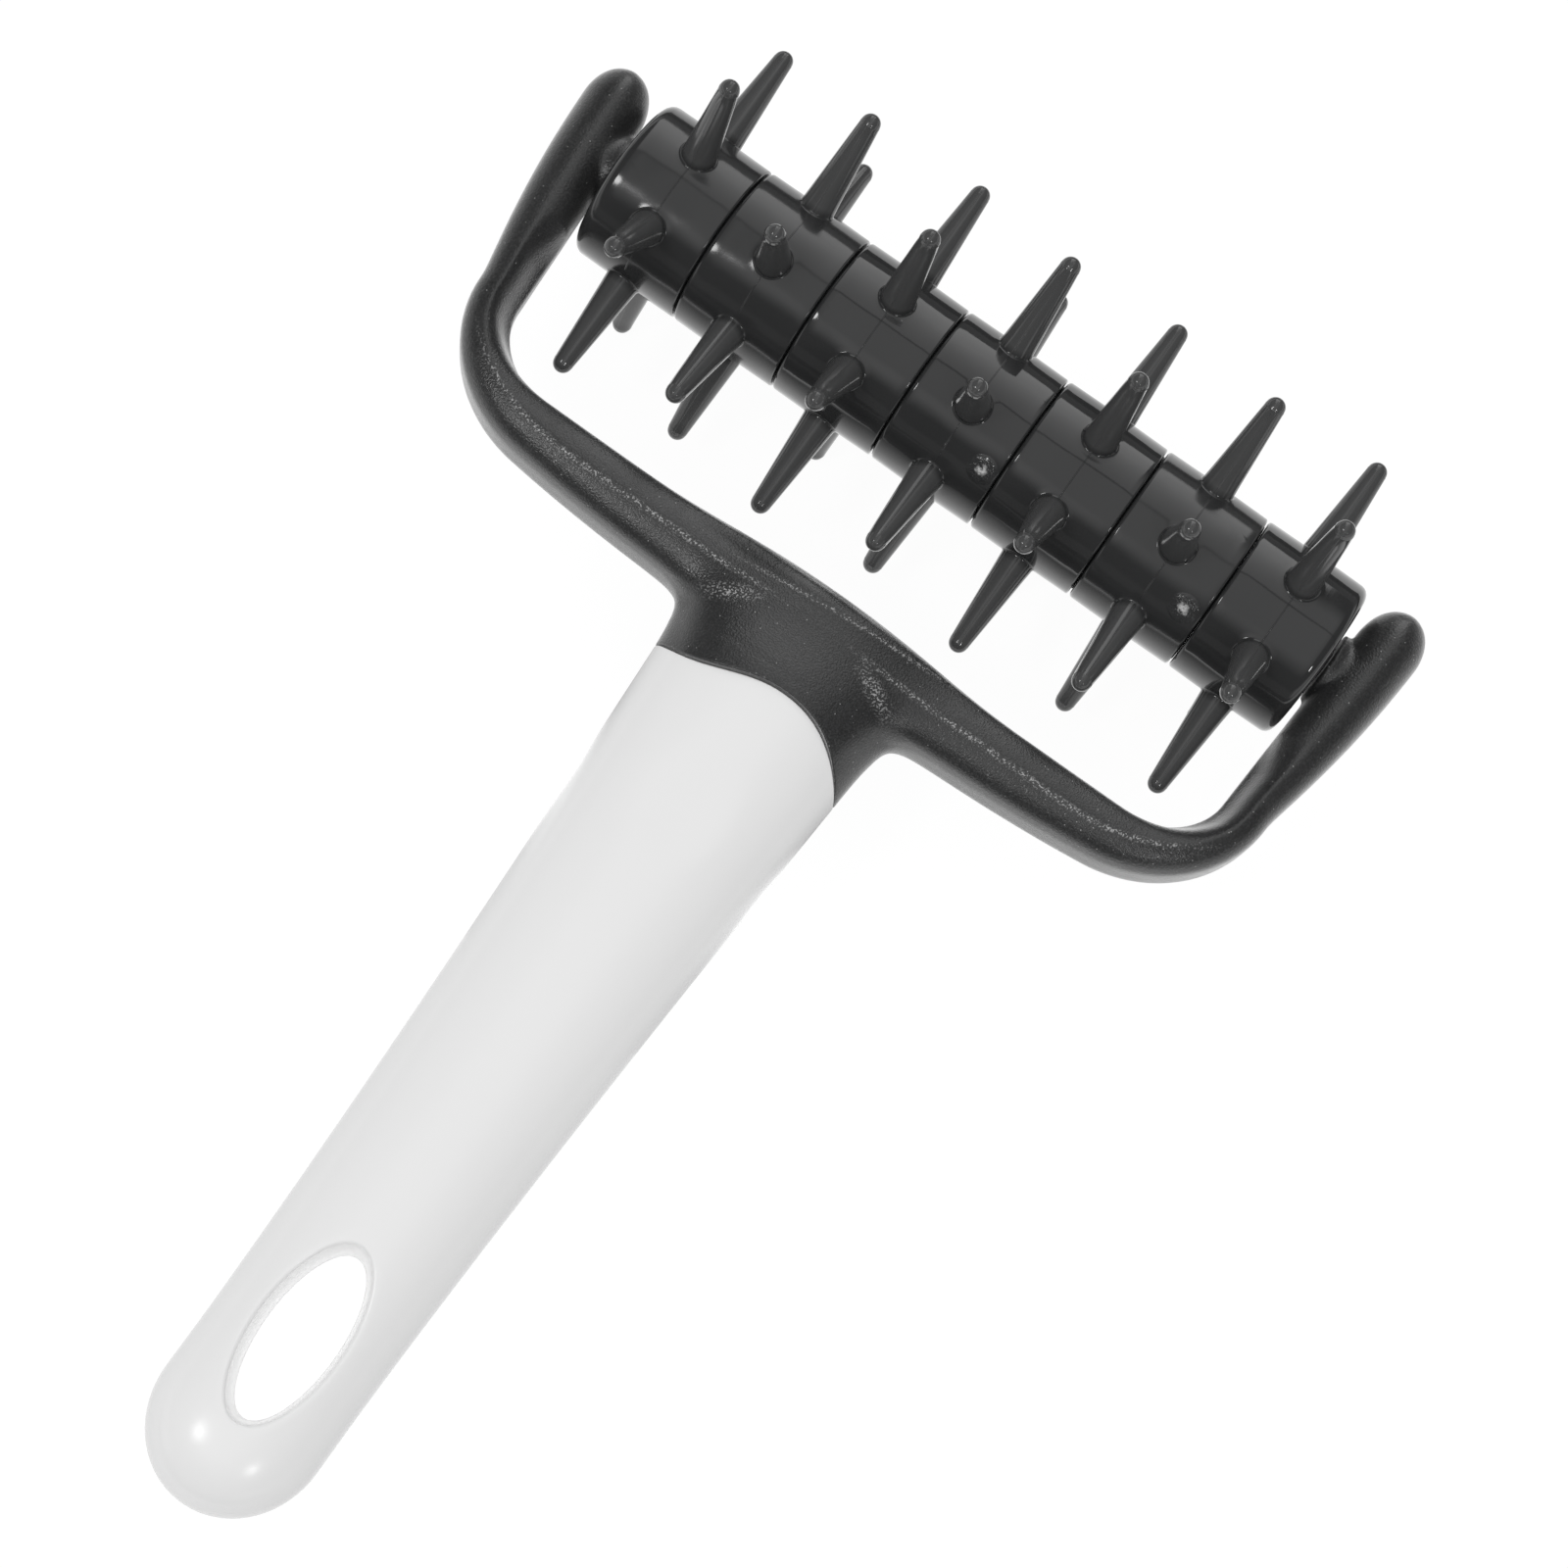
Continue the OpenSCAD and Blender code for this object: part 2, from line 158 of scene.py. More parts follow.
# Where highlights are painted into the yoke's colour as glints, in metres in the tool's own frame: the crossbar's
# crest and how it bends forward at the corners, the slanted edge in front of the crown, and the hollows beside the
# neck
CREST_BACK = -0.0418
CREST_MIDDLE = 0.036
BEND_FROM = 0.042
BEND_POWER = 2.5
BEND = 92.0
EDGE_BACK = -0.0387
EDGE_SLANT = -0.084
EDGE_MIDDLE = 0.004
HOLLOW_SIDE = 0.0125
HOLLOW_BACK = -0.0449
HOLLOW_TURN = (0.9, 0.43)
GLINT_ABOVE = (0.0045, 0.006)


def yoke_painted_glints(n):
    """How strongly a highlight is painted into the yoke's colour at a point, from 0 to 1."""
    axes = n.from_roller()
    up = n.minus(n.times(axes[2], math.cos(tilt)), n.times(axes[1], math.sin(tilt)))
    back = n.plus(n.times(axes[1], math.cos(tilt)), n.times(axes[2], math.sin(tilt)))
    side = n.size(axes[0])
    bend = n.times(n.math("POWER", n.most(n.minus(side, BEND_FROM), 0.0), BEND_POWER), BEND)
    crest = n.times(n.band(n.minus(back, bend), CREST_BACK, 0.00005, 0.00065),
                    n.band(side, CREST_MIDDLE, 0.022, 0.031))
    edge = n.plus(n.times(axes[0], EDGE_SLANT), back)
    edge = n.times(n.band(edge, EDGE_BACK, 0.00005, 0.0005), n.band(axes[0], EDGE_MIDDLE, 0.012, 0.021))
    from_side = n.minus(side, HOLLOW_SIDE)
    from_back = n.minus(back, HOLLOW_BACK)
    c, s = HOLLOW_TURN
    along = n.plus(n.times(from_side, c), n.times(from_back, -s))
    across = n.plus(n.times(from_side, s), n.times(from_back, c))
    hollow = n.times(n.band(along, 0.0, 0.001, 0.0055), n.band(across, 0.0, 0.0002, 0.0018))
    # painted highlights: the crest, edge and hollow lines where glints are painted
    painted_glint_mask = n.most(n.most(crest, n.times(edge, 0.8)), hollow)
    return n.times(painted_glint_mask, n.spread(up, *GLINT_ABOVE, 0, 1))


def yoke_material():
    """Dark grey moulded plastic with a fine grain, and painted highlights: pale glints along the crest, edge,
    hollows and in specks.
    """
    n = Nodes("yoke_plastic")
    mottle = n.noise(260, 3)
    fine = n.noise(3500, 1.0)
    base = n.spread(mottle, 0.35, 0.65, 0, 1)
    base = n.blend(base, rgb(0.0115, 0.0118, 0.012), rgb(0.014, 0.0143, 0.0146))
    base = n.blend(n.spread(fine, 0.42, 0.78, 0, 1), base, rgb(0.034, 0.0345, 0.035))
    # painted highlights: pale glints painted along the crest, edge and hollows, and as scattered sparkling specks
    glint = n.times(yoke_painted_glints(n), n.spread(fine, 0.55, 0.62, 0.04, 0.8))
    glint = n.most(glint, n.specks(900.0, 0.05, 0.1, 0.7, 0.3))
    grain = n.bump(fine, 1.0, 0.00007)
    rough = n.spread(mottle, 0.3, 0.7, 0.28, 0.34)
    normal = n.bump(n.noise(500, 2), 0.5, 0.00003, grain)
    return n.shade(base_color=n.blend(glint, base, grey(0.45)), roughness=rough, normal=normal,
                   ior=1.7, sheen_weight=1.0, sheen_roughness=0.33)


def handle_material():
    """White plastic, glossy and even, with the faint ripple of a moulded surface."""
    n = Nodes("handle_plastic")
    ripple = n.noise(40, 0)
    return n.shade(base_color=n.blend(n.noise(60, 0), grey(0.817), grey(0.823)),
                   roughness=n.spread(ripple, 0, 1, 0.215, 0.235), normal=n.bump(ripple, 0.1, 0.0001))


# The barrel's skin from the roller's axis, and half of the rings' pitch, in metres
SKIN_AT = 0.0131
HALF_PITCH = 0.009
# Where two rings show the scar of their gate: along the roller in millimetres, and round it
GATES = ((6.4, math.radians(138.5)), (41.9, math.radians(137.0)))


def gate_scars(n, skin):
    """How torn the skin is round the two gates, and where a glint is painted pale at their core."""
    scar = 0.0
    core = 0.0
    for x, turn in GATES:
        at = (x * MM, SKIN_AT * math.cos(turn), SKIN_AT * math.sin(turn))
        far = n.distance(skin, at)
        scar = n.most(scar, n.spread(far, 0.0008, 0.0024, 1, 0))
        core = n.most(core, n.spread(far, 0.0004, 0.001, 1, 0))
    return scar, core


def ring_roughness(n, x, reach, skin, scar):
    """The first, second and sixth ring are duller than the rest, as are all pins but for their tips."""
    dull = n.times(n.math("LESS_THAN", n.size(n.minus(x, 0.036)), HALF_PITCH), 0.07)
    dull = n.plus(dull, n.times(n.math("LESS_THAN", x, -0.027), 0.07))
    rough = n.spread(n.noise(700, 2, skin), 0.3, 0.7, 0.05, 0.08)
    rough = n.plus(rough, n.plus(n.times(scar, 0.12), dull))
    rough = n.times(rough, n.spread(reach, 0.0265, 0.0275, 1, 0.5))
    pin = n.times(n.spread(reach, 0.0133, 0.0142, 0, 0.11), n.spread(reach, 0.0265, 0.0275, 1, 0.3))
    return n.most(rough, pin)


def ring_material():
    """Dark polished plastic with a wavy skin, lines along the pins, a parting line, two gate scars with painted
    glints, and pins painted lighter.
    """
    n = Nodes("ring_plastic")
    x, y, z = n.from_roller()
    reach = n.math("SQRT", n.plus(n.times(y, y), n.times(z, z)))
    unit = n.math("DIVIDE", SKIN_AT, reach)
    # the point of the barrel's skin that lies under a point, so that a pattern runs up the pins
    skin = n.point(x, n.times(y, unit), n.times(z, unit))
    wave = n.noise(75, 1, skin)
    scar, core = gate_scars(n, skin)
    base = n.spread(wave, 0.3, 0.7, 0, 1)
    base = n.blend(base, rgb(0.024, 0.0245, 0.025), rgb(0.027, 0.0275, 0.028))
    # the pins are painted lighter than the barrel, a painted reflection of the pale surroundings on their flanks
    base = n.blend(n.spread(reach, 0.0133, 0.0145, 0, 1), base, rgb(0.062, 0.0625, 0.063))
    base = n.blend(n.specks(260.0, 0.02, 0.045, 1, 0.72, skin), base, grey(0.09))
    shred = n.noise(1600, 2)
    torn = n.times(scar, shred)
    # painted highlight: the pale core of each gate scar is a painted glint
    pale = n.most(n.times(core, n.spread(shred, 0.35, 0.5, 0, 1)), n.spread(torn, 0.5, 0.6, 0, 0.5))
    line = n.spread(n.math("PINGPONG", x, HALF_PITCH), 0.00005, 0.00011, 1, 0)
    brushed = n.noise(2200, 1, n.point(x, 0.0, 0.0))
    drawn = n.noise(1500, 2, skin)
    normal = None
    for height, strength, distance in ((wave, 1.0, 0.0004), (brushed, 0.6, 0.000004), (drawn, 0.4, 0.000005),
                                       (line, 0.8, 0.00004), (torn, 1.0, 0.0005)):
        normal = n.bump(height, strength, distance, normal)
    return n.shade(base_color=n.blend(pale, base, grey(0.5)), ior=1.56, normal=normal,
                   roughness=ring_roughness(n, x, reach, skin, scar))


def axle_material():
    """Dark plastic, dull and hardly mottled."""
    n = Nodes("axle_plastic")
    slow = n.noise(200, 3)
    return n.shade(base_color=n.blend(slow, grey(0.05), grey(0.07)),
                   roughness=n.spread(slow, 0.3, 0.7, 0.4, 0.55), normal=n.bump(n.noise(1800), 0.2, 0.00005))


LOOKS = {"yoke": yoke_material(), "handle": handle_material(), "ring": ring_material(),
         "axle": axle_material()}
for sub in frame["record"]["subparts"]:
    node = frame["nodes"][sub["node"]]
    node.data.materials.clear()
    node.data.materials.append(LOOKS[sub["material_slot"]])


# Mesh helpers
class Shell:
    """Loops of points in millimetres, joined into one closed skin."""
    rounded = True

    def __init__(self):
        self.verts, self.faces, self.sharp, self.seen = [], [], [], {}

    def vert(self, p):
        """The number of the vertex at a point, the same one for every face that meets there."""
        key = (round(float(p[0]), 4), round(float(p[1]), 4), round(float(p[2]), 4))
        if key not in self.seen:
            self.seen[key] = len(self.verts)
            self.verts.append(key if self.rounded else p)
        return self.seen[key]

    def face(self, ids):
        kept = [v for i, v in enumerate(ids) if v != ids[i - 1]]
        if len(kept) > 2:
            self.faces.append(kept)

    def join(self, ids):
        """Quads between neighbouring closed loops of vertex numbers."""
        for a, b in zip(ids, ids[1:]):
            for i in range(len(a)):
                j = (i + 1) % len(a)
                self.face([a[i], a[j], b[j], b[i]])

    def skin(self, loops):
        ids = [[self.vert(p) for p in loop] for loop in loops]
        self.join(ids)
        return ids

    def fan(self, ids, point):
        tip = self.vert(point)
        for i in range(len(ids)):
            self.face([ids[i - 1], ids[i], tip])


def add_piece(name, shell, slot, body, stands_for, matrix):
    """A closed mesh, moved to its place in the row's frame and tied to its body."""
    mesh = bpy.data.meshes.new(name)
    mesh.from_pydata([matrix @ (Vector(v) * MM) for v in shell.verts], [], shell.faces)
    mesh.validate()
    shape = bmesh.new()
    shape.from_mesh(mesh)
    if shape.calc_volume(signed=True) < 0:
        bmesh.ops.reverse_faces(shape, faces=shape.faces)
        shape.to_mesh(mesh)
    shape.free()
    mesh.polygons.foreach_set("use_smooth", [True] * len(mesh.polygons))
    if shell.sharp:
        marks = mesh.attributes.new("sharp_edge", "BOOLEAN", "EDGE")
        wanted = {tuple(sorted(e)) for e in shell.sharp}
        for e in mesh.edges:
            if tuple(sorted(e.vertices)) in wanted:
                marks.data[e.index].value = True
    mesh.materials.append(LOOKS[slot])
    obj = bpy.data.objects.new(name, mesh)
    bpy.context.scene.collection.objects.link(obj)
    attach(obj, body)
    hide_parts(stands_for)


def mix(a, b, t):
    return a + (b - a) * t


def ease(t):
    return t * t * (3 - 2 * t)


def power(v, p):
    return np.sign(v) * np.abs(v) ** p


# Sizes of the yoke and the handle in millimetres, in the tool's own frame
# Points round the grip and the neck
AROUND = 208
# How far the handle reaches from the roller's axis, the length of its round end and the power of its dome
REACH = 193.3
END_ROUND = 13.8
DOME_POWER = 2.4
# The grip's section: squareness, width and thickness at the thin and the thick end, and its taper
GRIP_POWER = 2.2
GRIP_W = (25.6, 35.6)
GRIP_T = (17.6, 20.4)
TAPER_END = 172
TAPER_LEN = 120
TAPER_POWER = 1.5
# Where the grip's even rows begin and end
ROWS_FROM = 64.0
ROWS_TO = 137.0
GRIP_ROWS = 60
# The wavy seam: distance and side of its crest, how far it drops on both sides of that and over what width,
# the gap and the rounding of its edges
SEAM_AT = 53.2
SEAM_TOP = 2.3
SEAM_DROP = (3.4, 7.6)
SEAM_RUN = (16.3, 15.2)
SEAM_POWER = 2.3
SEAM_GAP = 0.3
SEAM_R = 0.22
# Half width, half thickness and depth behind the seam of the tang and of its socket, and half width, half
# thickness and reach of the hollow
TANG = (11.0, 5.5, 60.0)
SOCKET = (11.12, 5.62, 60.12)
HOLLOW = (7.5, 4.0, 146.6)
# The dip for the thumb: side, distance, half width, half length and depth
THUMB_AT = (-0.5, 75.0)
THUMB_HALF = (9.0, 10.9)
THUMB_DEEP = 0.55
# The hanging hole: its middle, half width and half length, the flare of its wall and its rounded rim
HANG_Y = -165.9
HANG_W = 5.45
HANG_L = 13.3
HANG_FLARE = 0.95
HANG_SOFT = 0.7
WALL_LEVELS = (0.8, 0.6, 0.42, 0.26, 0.12, 0.05, 0.03)
# Lines round the outline of the round end, and steps along them
END_LINES = 150
END_STEPS = 22
# The neck's half width and half thickness at the crossbar, where it begins, the length of its round front,
# the runs over which it widens and rises, and where the grid's part of it ends
NECK_TOP = (15.5, 7.1)
NECK_FRONT = 39
NECK_CAP = 2.7
NECK_FLARE = 8
NECK_RISE = 15.3
NECK_CUT = 50.6
# The crossbar's front and its width at the middle and the ends
BAR_FRONT = 36.1
BAR_W = (11.2, 9.1)
# The corner's start, its radii along and across, and how its width shrinks
CORNER = (50.975, 12.5, 10.5)
CORNER_POWER = 1.6
# The arm's lean, its width at the corner and the boss, how softly it widens, the length of its round tip and
# how far it reaches past the roller's axis
ARM_LEAN = math.radians(3.4)
ARM_W = (7.0, 10.1)
ARM_SOFT = 0.06
ARM_SOFT_END = 0.9418
ARM_TIP = 6.4
ARM_OVER = 13.9
# Half the thickness of the crossbar and of the arm
THICK = (6.7, 6.3)
# The fork's section, at the crossbar and at the arm's tip: powers across and upwards
POWER_RUN = 40
ACROSS_POWER = (1.42, 1.75)
UP_POWER = (4.8, 2.6)
FORK_POWER = 1.333
# Where the arms' inner flanks lean back, behind the roller, and how much
FLANK = (-37, -13)
FLANK_RUN = 7
FLANK_LEAN = 1.3
# How softly neck and fork flow together, and how much less softly away from the middle plane
FLOW = 8.5
FLOW_LESS = 0.5
FLOW_FROM = 1.5
FLOW_RUN = 3.5
# The bosses' face and radius, their depth and soft edges, and the bores
BOSS = (64.075, 5.7)
BOSS_DEEP = 5
BOSS_CONE = 0.3
BOSS_SOFT = 0.8
BOSS_FLOW = 2.2
BORE_R = 2.6
BORE_END = 68.4
# The grid that the yoke's surface is taken from, the least slope that counts, the step that slopes are
# measured over, and the longest move of a point that settles on the surface
GRID = 0.42
GRID_SPANS = ((-76.3, 76.6), (-50.6, 15.2), (-10.8, 11.2))
LEAST_SLOPE = 0.03
NUDGE = 0.02
LONGEST_MOVE = 0.15


def on_rectangle(angles, half_w, half_t):
    c, s = np.cos(angles), np.sin(angles)
    big = np.maximum(np.abs(c), np.abs(s))
    return half_w * c / big, half_t * s / big


def seam_drop(x):
    """How far the seam drops back from its crest."""
    near = SEAM_DROP[0] * (1 - np.cos(np.pi * (SEAM_TOP - x) / SEAM_RUN[0])) / 2
    far = SEAM_DROP[1] * (np.maximum(0, x - SEAM_TOP) / SEAM_RUN[1]) ** SEAM_POWER
    return np.where(x < SEAM_TOP, near, far)


def grip_half(d):
    """Half the grip's width and thickness at a distance behind the roller's axis."""
    t = np.clip((TAPER_END - d) / TAPER_LEN, 0, 1) ** TAPER_POWER
    out = np.maximum(0, d - REACH + END_ROUND) / END_ROUND
    cap = np.sqrt(np.maximum(0, 1 - out ** 2))
    dome = (1 - out.clip(0, 1) ** DOME_POWER) ** (1 / DOME_POWER)
    return mix(*GRIP_W, t) / 2 * cap, mix(*GRIP_T, t) / 2 * dome


def neck_half(d):
    """The neck keeps the grip's width and slopes down to the crossbar's crown."""
    w, t = grip_half(d)
    e = np.clip((d - NECK_FRONT) / NECK_RISE, 0, 1)
    return mix(NECK_TOP[0], w, np.clip((d - NECK_FRONT) / NECK_FLARE, 0, 1)), mix(NECK_TOP[1], t, ease(e))


def seam_loops(angles, half, side, inner, rows, start, fit):
    """From rows along the grip over the seam's rounded edge and its face to a rectangular tang or socket."""
    ux, uz = power(np.cos(angles), 2 / GRIP_POWER), power(np.sin(angles), 2 / GRIP_POWER)
    shift = side * SEAM_GAP / 2
    edge = np.full(len(angles), SEAM_AT)

    def at(d, inset=0.0):
        w, t = half(d)
        nx, nz = np.abs(ux) ** 1.4 * np.sign(ux) / w, np.abs(uz) ** 1.4 * np.sign(uz) / t
        length = np.sqrt(nx * nx + nz * nz)
        x, y, z = fit(w * ux, -d, t * uz)
        return x - inset * nx / length, y, z - inset * nz / length

    def face_y(x):
        return -(SEAM_AT + shift + seam_drop(x))

    for _ in range(12):
        edge = SEAM_AT + shift + seam_drop(at(edge)[0])
    loops = []
    for k in range(rows + 1):
        loops.append(at(mix(start, edge + side * SEAM_R, k / rows)))
    for q in np.radians([18, 36, 54, 72, 90]):
        x, y, z = at(edge + side * SEAM_R * (1 - math.sin(q)), SEAM_R * (1 - math.cos(q)))
        loops.append((x, y if q < 1.5 else face_y(x), z))
    x1, z1 = loops[-1][0], loops[-1][2]
    x2, z2 = on_rectangle(angles, inner[0], inner[1])
    for f in (0.3, 0.65, 1.0):
        x, z = mix(x1, x2, f), mix(z1, z2, f)
        loops.append((x, face_y(x), z))
    loops.append((x2, np.full(len(angles), -SEAM_AT - inner[2]), z2))
    return [np.stack(np.broadcast_arrays(*loop), 1) for loop in loops]


# Handle
def rim(phi, out):
    """The point at an angle round the hanging hole, this far out from its rim, seen from above."""
    return (HANG_W + out) * math.cos(phi), HANG_Y + (HANG_L + out) * math.sin(phi)


def outward(phi):
    v = Vector((HANG_L * math.cos(phi), HANG_W * math.sin(phi)))
    return v / v.length


def solve(low, high, test):
    """The place between low and high where the test turns true."""
    for _ in range(40):
        mid = (low + high) / 2
        low, high = (low, mid) if test(mid) else (mid, high)
    return low


def row_hit(phi):
    """Where the line straight out from the rim meets the grip's last even row."""
    p, n = rim(phi, 0), outward(phi)
    return p[0] + (-ROWS_TO - p[1]) / n.y * n.x


def outline_hit(phi):
    """Where the line straight out from the rim meets the handle's outline."""
    p, n = rim(phi, 0), outward(phi)

    def outside(t):
        x, y = p[0] + t * n.x, p[1] + t * n.y
        return -y >= REACH or abs(x) > grip_half(-y)[0]
    t = solve(0, 60, outside)
    return p[0] + t * n.x, p[1] + t * n.y


def grip_top(x, y):
    """Height of the grip's surface over its middle plane."""
    w, t = grip_half(-y)
    return float(t * max(0.0, 1 - (abs(x) / max(w, 1e-6)) ** GRIP_POWER) ** (1 / GRIP_POWER))


def handle_front(shell, angles):
    """The seam's edge and face, the socket, and the hollow behind it."""
    loops = seam_loops(angles, grip_half, 1, SOCKET, 16, ROWS_FROM, lambda x, y, z: (x, y, z))
    x, z = on_rectangle(angles, HOLLOW[0], HOLLOW[1])
    for reach in (SEAM_AT + SOCKET[2], HOLLOW[2]):
        loops.append(np.stack([x, np.full(len(angles), -reach), z], 1))
    ids = shell.skin(loops)
    shell.fan(ids[-1], (0, -HOLLOW[2], 0))


def handle_rows(shell, angles):
    """The grip's even rows, with a shallow dip for the thumb. Gives the last row's points and numbers."""
    ux, uz = power(np.cos(angles), 2 / GRIP_POWER), power(np.sin(angles), 2 / GRIP_POWER)
    rows = []
    for k in range(GRIP_ROWS + 1):
        d = mix(ROWS_FROM, ROWS_TO, k / GRIP_ROWS)
        w, t = grip_half(d)
        off = ((w * ux - THUMB_AT[0]) / THUMB_HALF[0]) ** 2 + ((d - THUMB_AT[1]) / THUMB_HALF[1]) ** 2
        dip = np.where(uz > 0, THUMB_DEEP * np.maximum(0, 1 - off) ** 2, 0)
        rows.append(np.stack([w * ux, np.full(len(angles), -d), t * uz - dip], 1))
    return rows[-1], shell.skin(rows[::-1])[0]


def end_lines(last):
    """Lines that run from the hanging hole's rim straight out to the last row and round the outline."""
    half = len(last) // 2
    turns = [solve(0.01, math.pi / 2, lambda a: row_hit(a) < last[i][0]) for i in range(half // 2)]
    turns.append(math.pi / 2)
    turns += [math.pi - t for t in turns[-2::-1]]
    turns += [mix(turns[-1], 2 * math.pi + turns[0], i / END_LINES) for i in range(1, END_LINES)]
    outer = [(last[i][0], -ROWS_TO) for i in range(half + 1)]
    return turns, outer + [outline_hit(t) for t in turns[half + 1:]]


def handle_end(shell, last, row):
    """The round end and the hanging hole's wall, as an upper and a lower sheet."""
    half = len(last) // 2
    turns, outer = end_lines(last)
    outline = [shell.vert((p[0], p[1], 0)) for p in outer[half + 1:]]
    starts = [rim(phi, HANG_FLARE + HANG_SOFT) for phi in turns]
    sheets = []
    for side in (1, -1):
        sheet = [row[:half + 1] + outline if side > 0 else [row[0]] + row[:half - 1:-1] + outline]
        for k in range(END_STEPS - 1, -1, -1):
            f = 1 - (1 - k / END_STEPS) ** GRIP_POWER
            flat = [(mix(a[0], b[0], f), mix(a[1], b[1], f)) for a, b in zip(starts, outer)]
            sheet.append([shell.vert((x, y, side * grip_top(x, y))) for x, y in flat])
        for q in np.radians([70, 50, 30, 10]):
            out, drop = HANG_FLARE + HANG_SOFT * (1 - math.cos(q)), HANG_SOFT * (1 - math.sin(q))
            sheet.append([shell.vert((*rim(phi, out), side * (grip_top(*a) - drop)))
                          for phi, a in zip(turns, starts)])
        for level in WALL_LEVELS:
            out = HANG_FLARE * level ** 2.2 + 0.35 * level + (0.1 if level > 0.04 else 0)
            sheet.append([shell.vert((*rim(phi, out), side * ((grip_top(*a) - HANG_SOFT) * level)))
                          for phi, a in zip(turns, starts)])
        sheets.append(sheet)
    shell.join(sheets[1] + sheets[0][::-1])


def make_handle():
    shell = Shell()
    angles = np.linspace(0, 2 * np.pi, AROUND, endpoint=False)
    handle_front(shell, angles)
    handle_end(shell, *handle_rows(shell, angles))
    add_piece("handle", shell, "handle", "frame", "handle_grip", TOOL)


# Yoke
def corner_point(a):
    return CORNER[0] + CORNER[1] * np.sin(a), -BAR_FRONT + CORNER[2] * (1 - np.cos(a))


CORNER_END = math.atan(math.tan(math.pi / 2 - ARM_LEAN) * CORNER[1] / CORNER[2])
ARM_AT = corner_point(CORNER_END)
ARM_DIR = (math.sin(ARM_LEAN), math.cos(ARM_LEAN))
ARM_LEN = (ARM_OVER - ARM_TIP - ARM_AT[1]) / ARM_DIR[1]


def corner_angle(qx, qy):
    """The angle at which the corner's ellipse comes nearest to a point."""
    l, r = CORNER[1], CORNER[2]
    a = np.clip(np.arctan2(qx / l, -qy / r), 0, CORNER_END)
    for _ in range(6):
        s, c = np.sin(a), np.cos(a)
        g = (qx - l * s) * l * c + (qy + r * c) * r * s
        slope = -l * l * c * c - l * s * (qx - l * s) - r * r * s * s + r * c * (qy + r * c)
        a = np.clip(a - g / np.minimum(slope, -1), 0, CORNER_END)
    return a


def fork_plan(x, y):
    """Where a point lies on crossbar, corner or arm, seen from above.

    Gives its place across it from -1 to 1, the half thickness there and its reach into the arm's tip.
    """
    x = np.abs(x)
    cx, l, r = CORNER
    qx, qy = x - cx, y + BAR_FRONT - r
    a = corner_angle(qx, qy)
    s, c = np.sin(a), np.cos(a)
    corner_across = ((qx - l * s) * r * s - (qy + r * c) * l * c) / np.sqrt((r * s) ** 2 + (l * c) ** 2)
    along = (x - ARM_AT[0]) * ARM_DIR[0] + (y - ARM_AT[1]) * ARM_DIR[1]
    arm_across = (x - ARM_AT[0]) * ARM_DIR[1] - (y - ARM_AT[1]) * ARM_DIR[0]
    t_arm = np.clip(along / ARM_LEN, 0, 1)
    t_arm = (np.sqrt(t_arm ** 2 + ARM_SOFT ** 2) - ARM_SOFT) / ARM_SOFT_END
    t_corner = a / CORNER_END
    on_bar, on_arm = x <= cx, (x > cx) & (along > 0)

    def pick(bar, arm, corner):
        return np.where(on_bar, bar, np.where(on_arm, arm, corner))

    across = pick(-BAR_FRONT - y, arm_across, corner_across)
    width = pick(mix(*BAR_W, np.clip(x / cx, 0, 1) ** 3), mix(ARM_W[1], ARM_W[0], (1 - t_arm) ** 2),
                 mix(ARM_W[0], BAR_W[1], (1 - t_corner) ** CORNER_POWER))
    thick = pick(THICK[0], THICK[1], mix(*THICK, t_corner ** 2 * (3 - 2 * t_corner)))
    return 2 * across / width - 1, thick, np.where(on_arm, np.maximum(0, along - ARM_LEN) / ARM_TIP, 0)


def yoke_parts(x, y, z):
    """The fork and the neck, each as a value that is 0 on its surface and negative inside."""
    u, thick, tip = fork_plan(x, y)
    turn = np.clip((y + BAR_FRONT) / POWER_RUN, 0, 1)
    lean = np.clip((y - FLANK[0]) / FLANK_RUN, 0, 1) * np.clip((FLANK[1] - y) / FLANK_RUN, 0, 1)
    across = np.abs(u) * (1 + np.where(u < 0, FLANK_LEAN, 0) * lean * np.clip(z / thick, 0, 1))
    fork = across ** mix(*ACROSS_POWER, turn) + np.abs(z / thick) ** mix(*UP_POWER, turn)
    fork = fork ** FORK_POWER + tip * tip - 1
    w, t = neck_half(-y)
    cap = np.clip(NECK_FRONT + y, 0, None) / NECK_CAP
    neck = (np.abs(x / w) ** GRIP_POWER + np.abs(z / t) ** GRIP_POWER) ** (2 / GRIP_POWER) + cap * cap - 1
    return fork, neck


def soft_min(a, b, k):
    h = np.maximum(k - np.abs(a - b), 0) / k
    return np.minimum(a, b) - h ** 3 * k / 6


def yoke_join(fork, neck, x, y, z):
    """The whole yoke's distance: neck and fork flow together, bosses stand on the arms, bores go in."""
    high = np.clip((np.abs(z) - FLOW_FROM) / FLOW_RUN, 0, 1)
    d = soft_min(fork, neck, FLOW - FLOW_LESS * high * high * (3 - 2 * high))
    around = np.sqrt(y * y + z * z)
    face = np.abs(x) - BOSS[0]
    boss = -soft_min(BOSS[1] - BOSS_CONE * np.maximum(0, face) - around, face, BOSS_SOFT)
    boss = np.maximum(boss, face - BOSS_DEEP)
    d = soft_min(d, boss, BOSS_FLOW)
    bore = np.maximum(around - BORE_R, np.abs(x) - BORE_END)
    return np.maximum(d, -bore)


def yoke_field():
    """The yoke's distance at every point of the grid, and the grid's first corner."""
    xs, ys, zs = (np.arange(*span, GRID) for span in GRID_SPANS)
    x, y, z = xs[:, None, None], ys[None, :, None], zs[None, None, :]
    parts = []
    for f in yoke_parts(x, y, z):
        slope = np.sqrt(sum(g * g for g in np.gradient(f, GRID)))
        parts.append(f / np.maximum(slope, LEAST_SLOPE))
    return yoke_join(*parts, x, y, z), np.array([xs[0], ys[0], zs[0]])


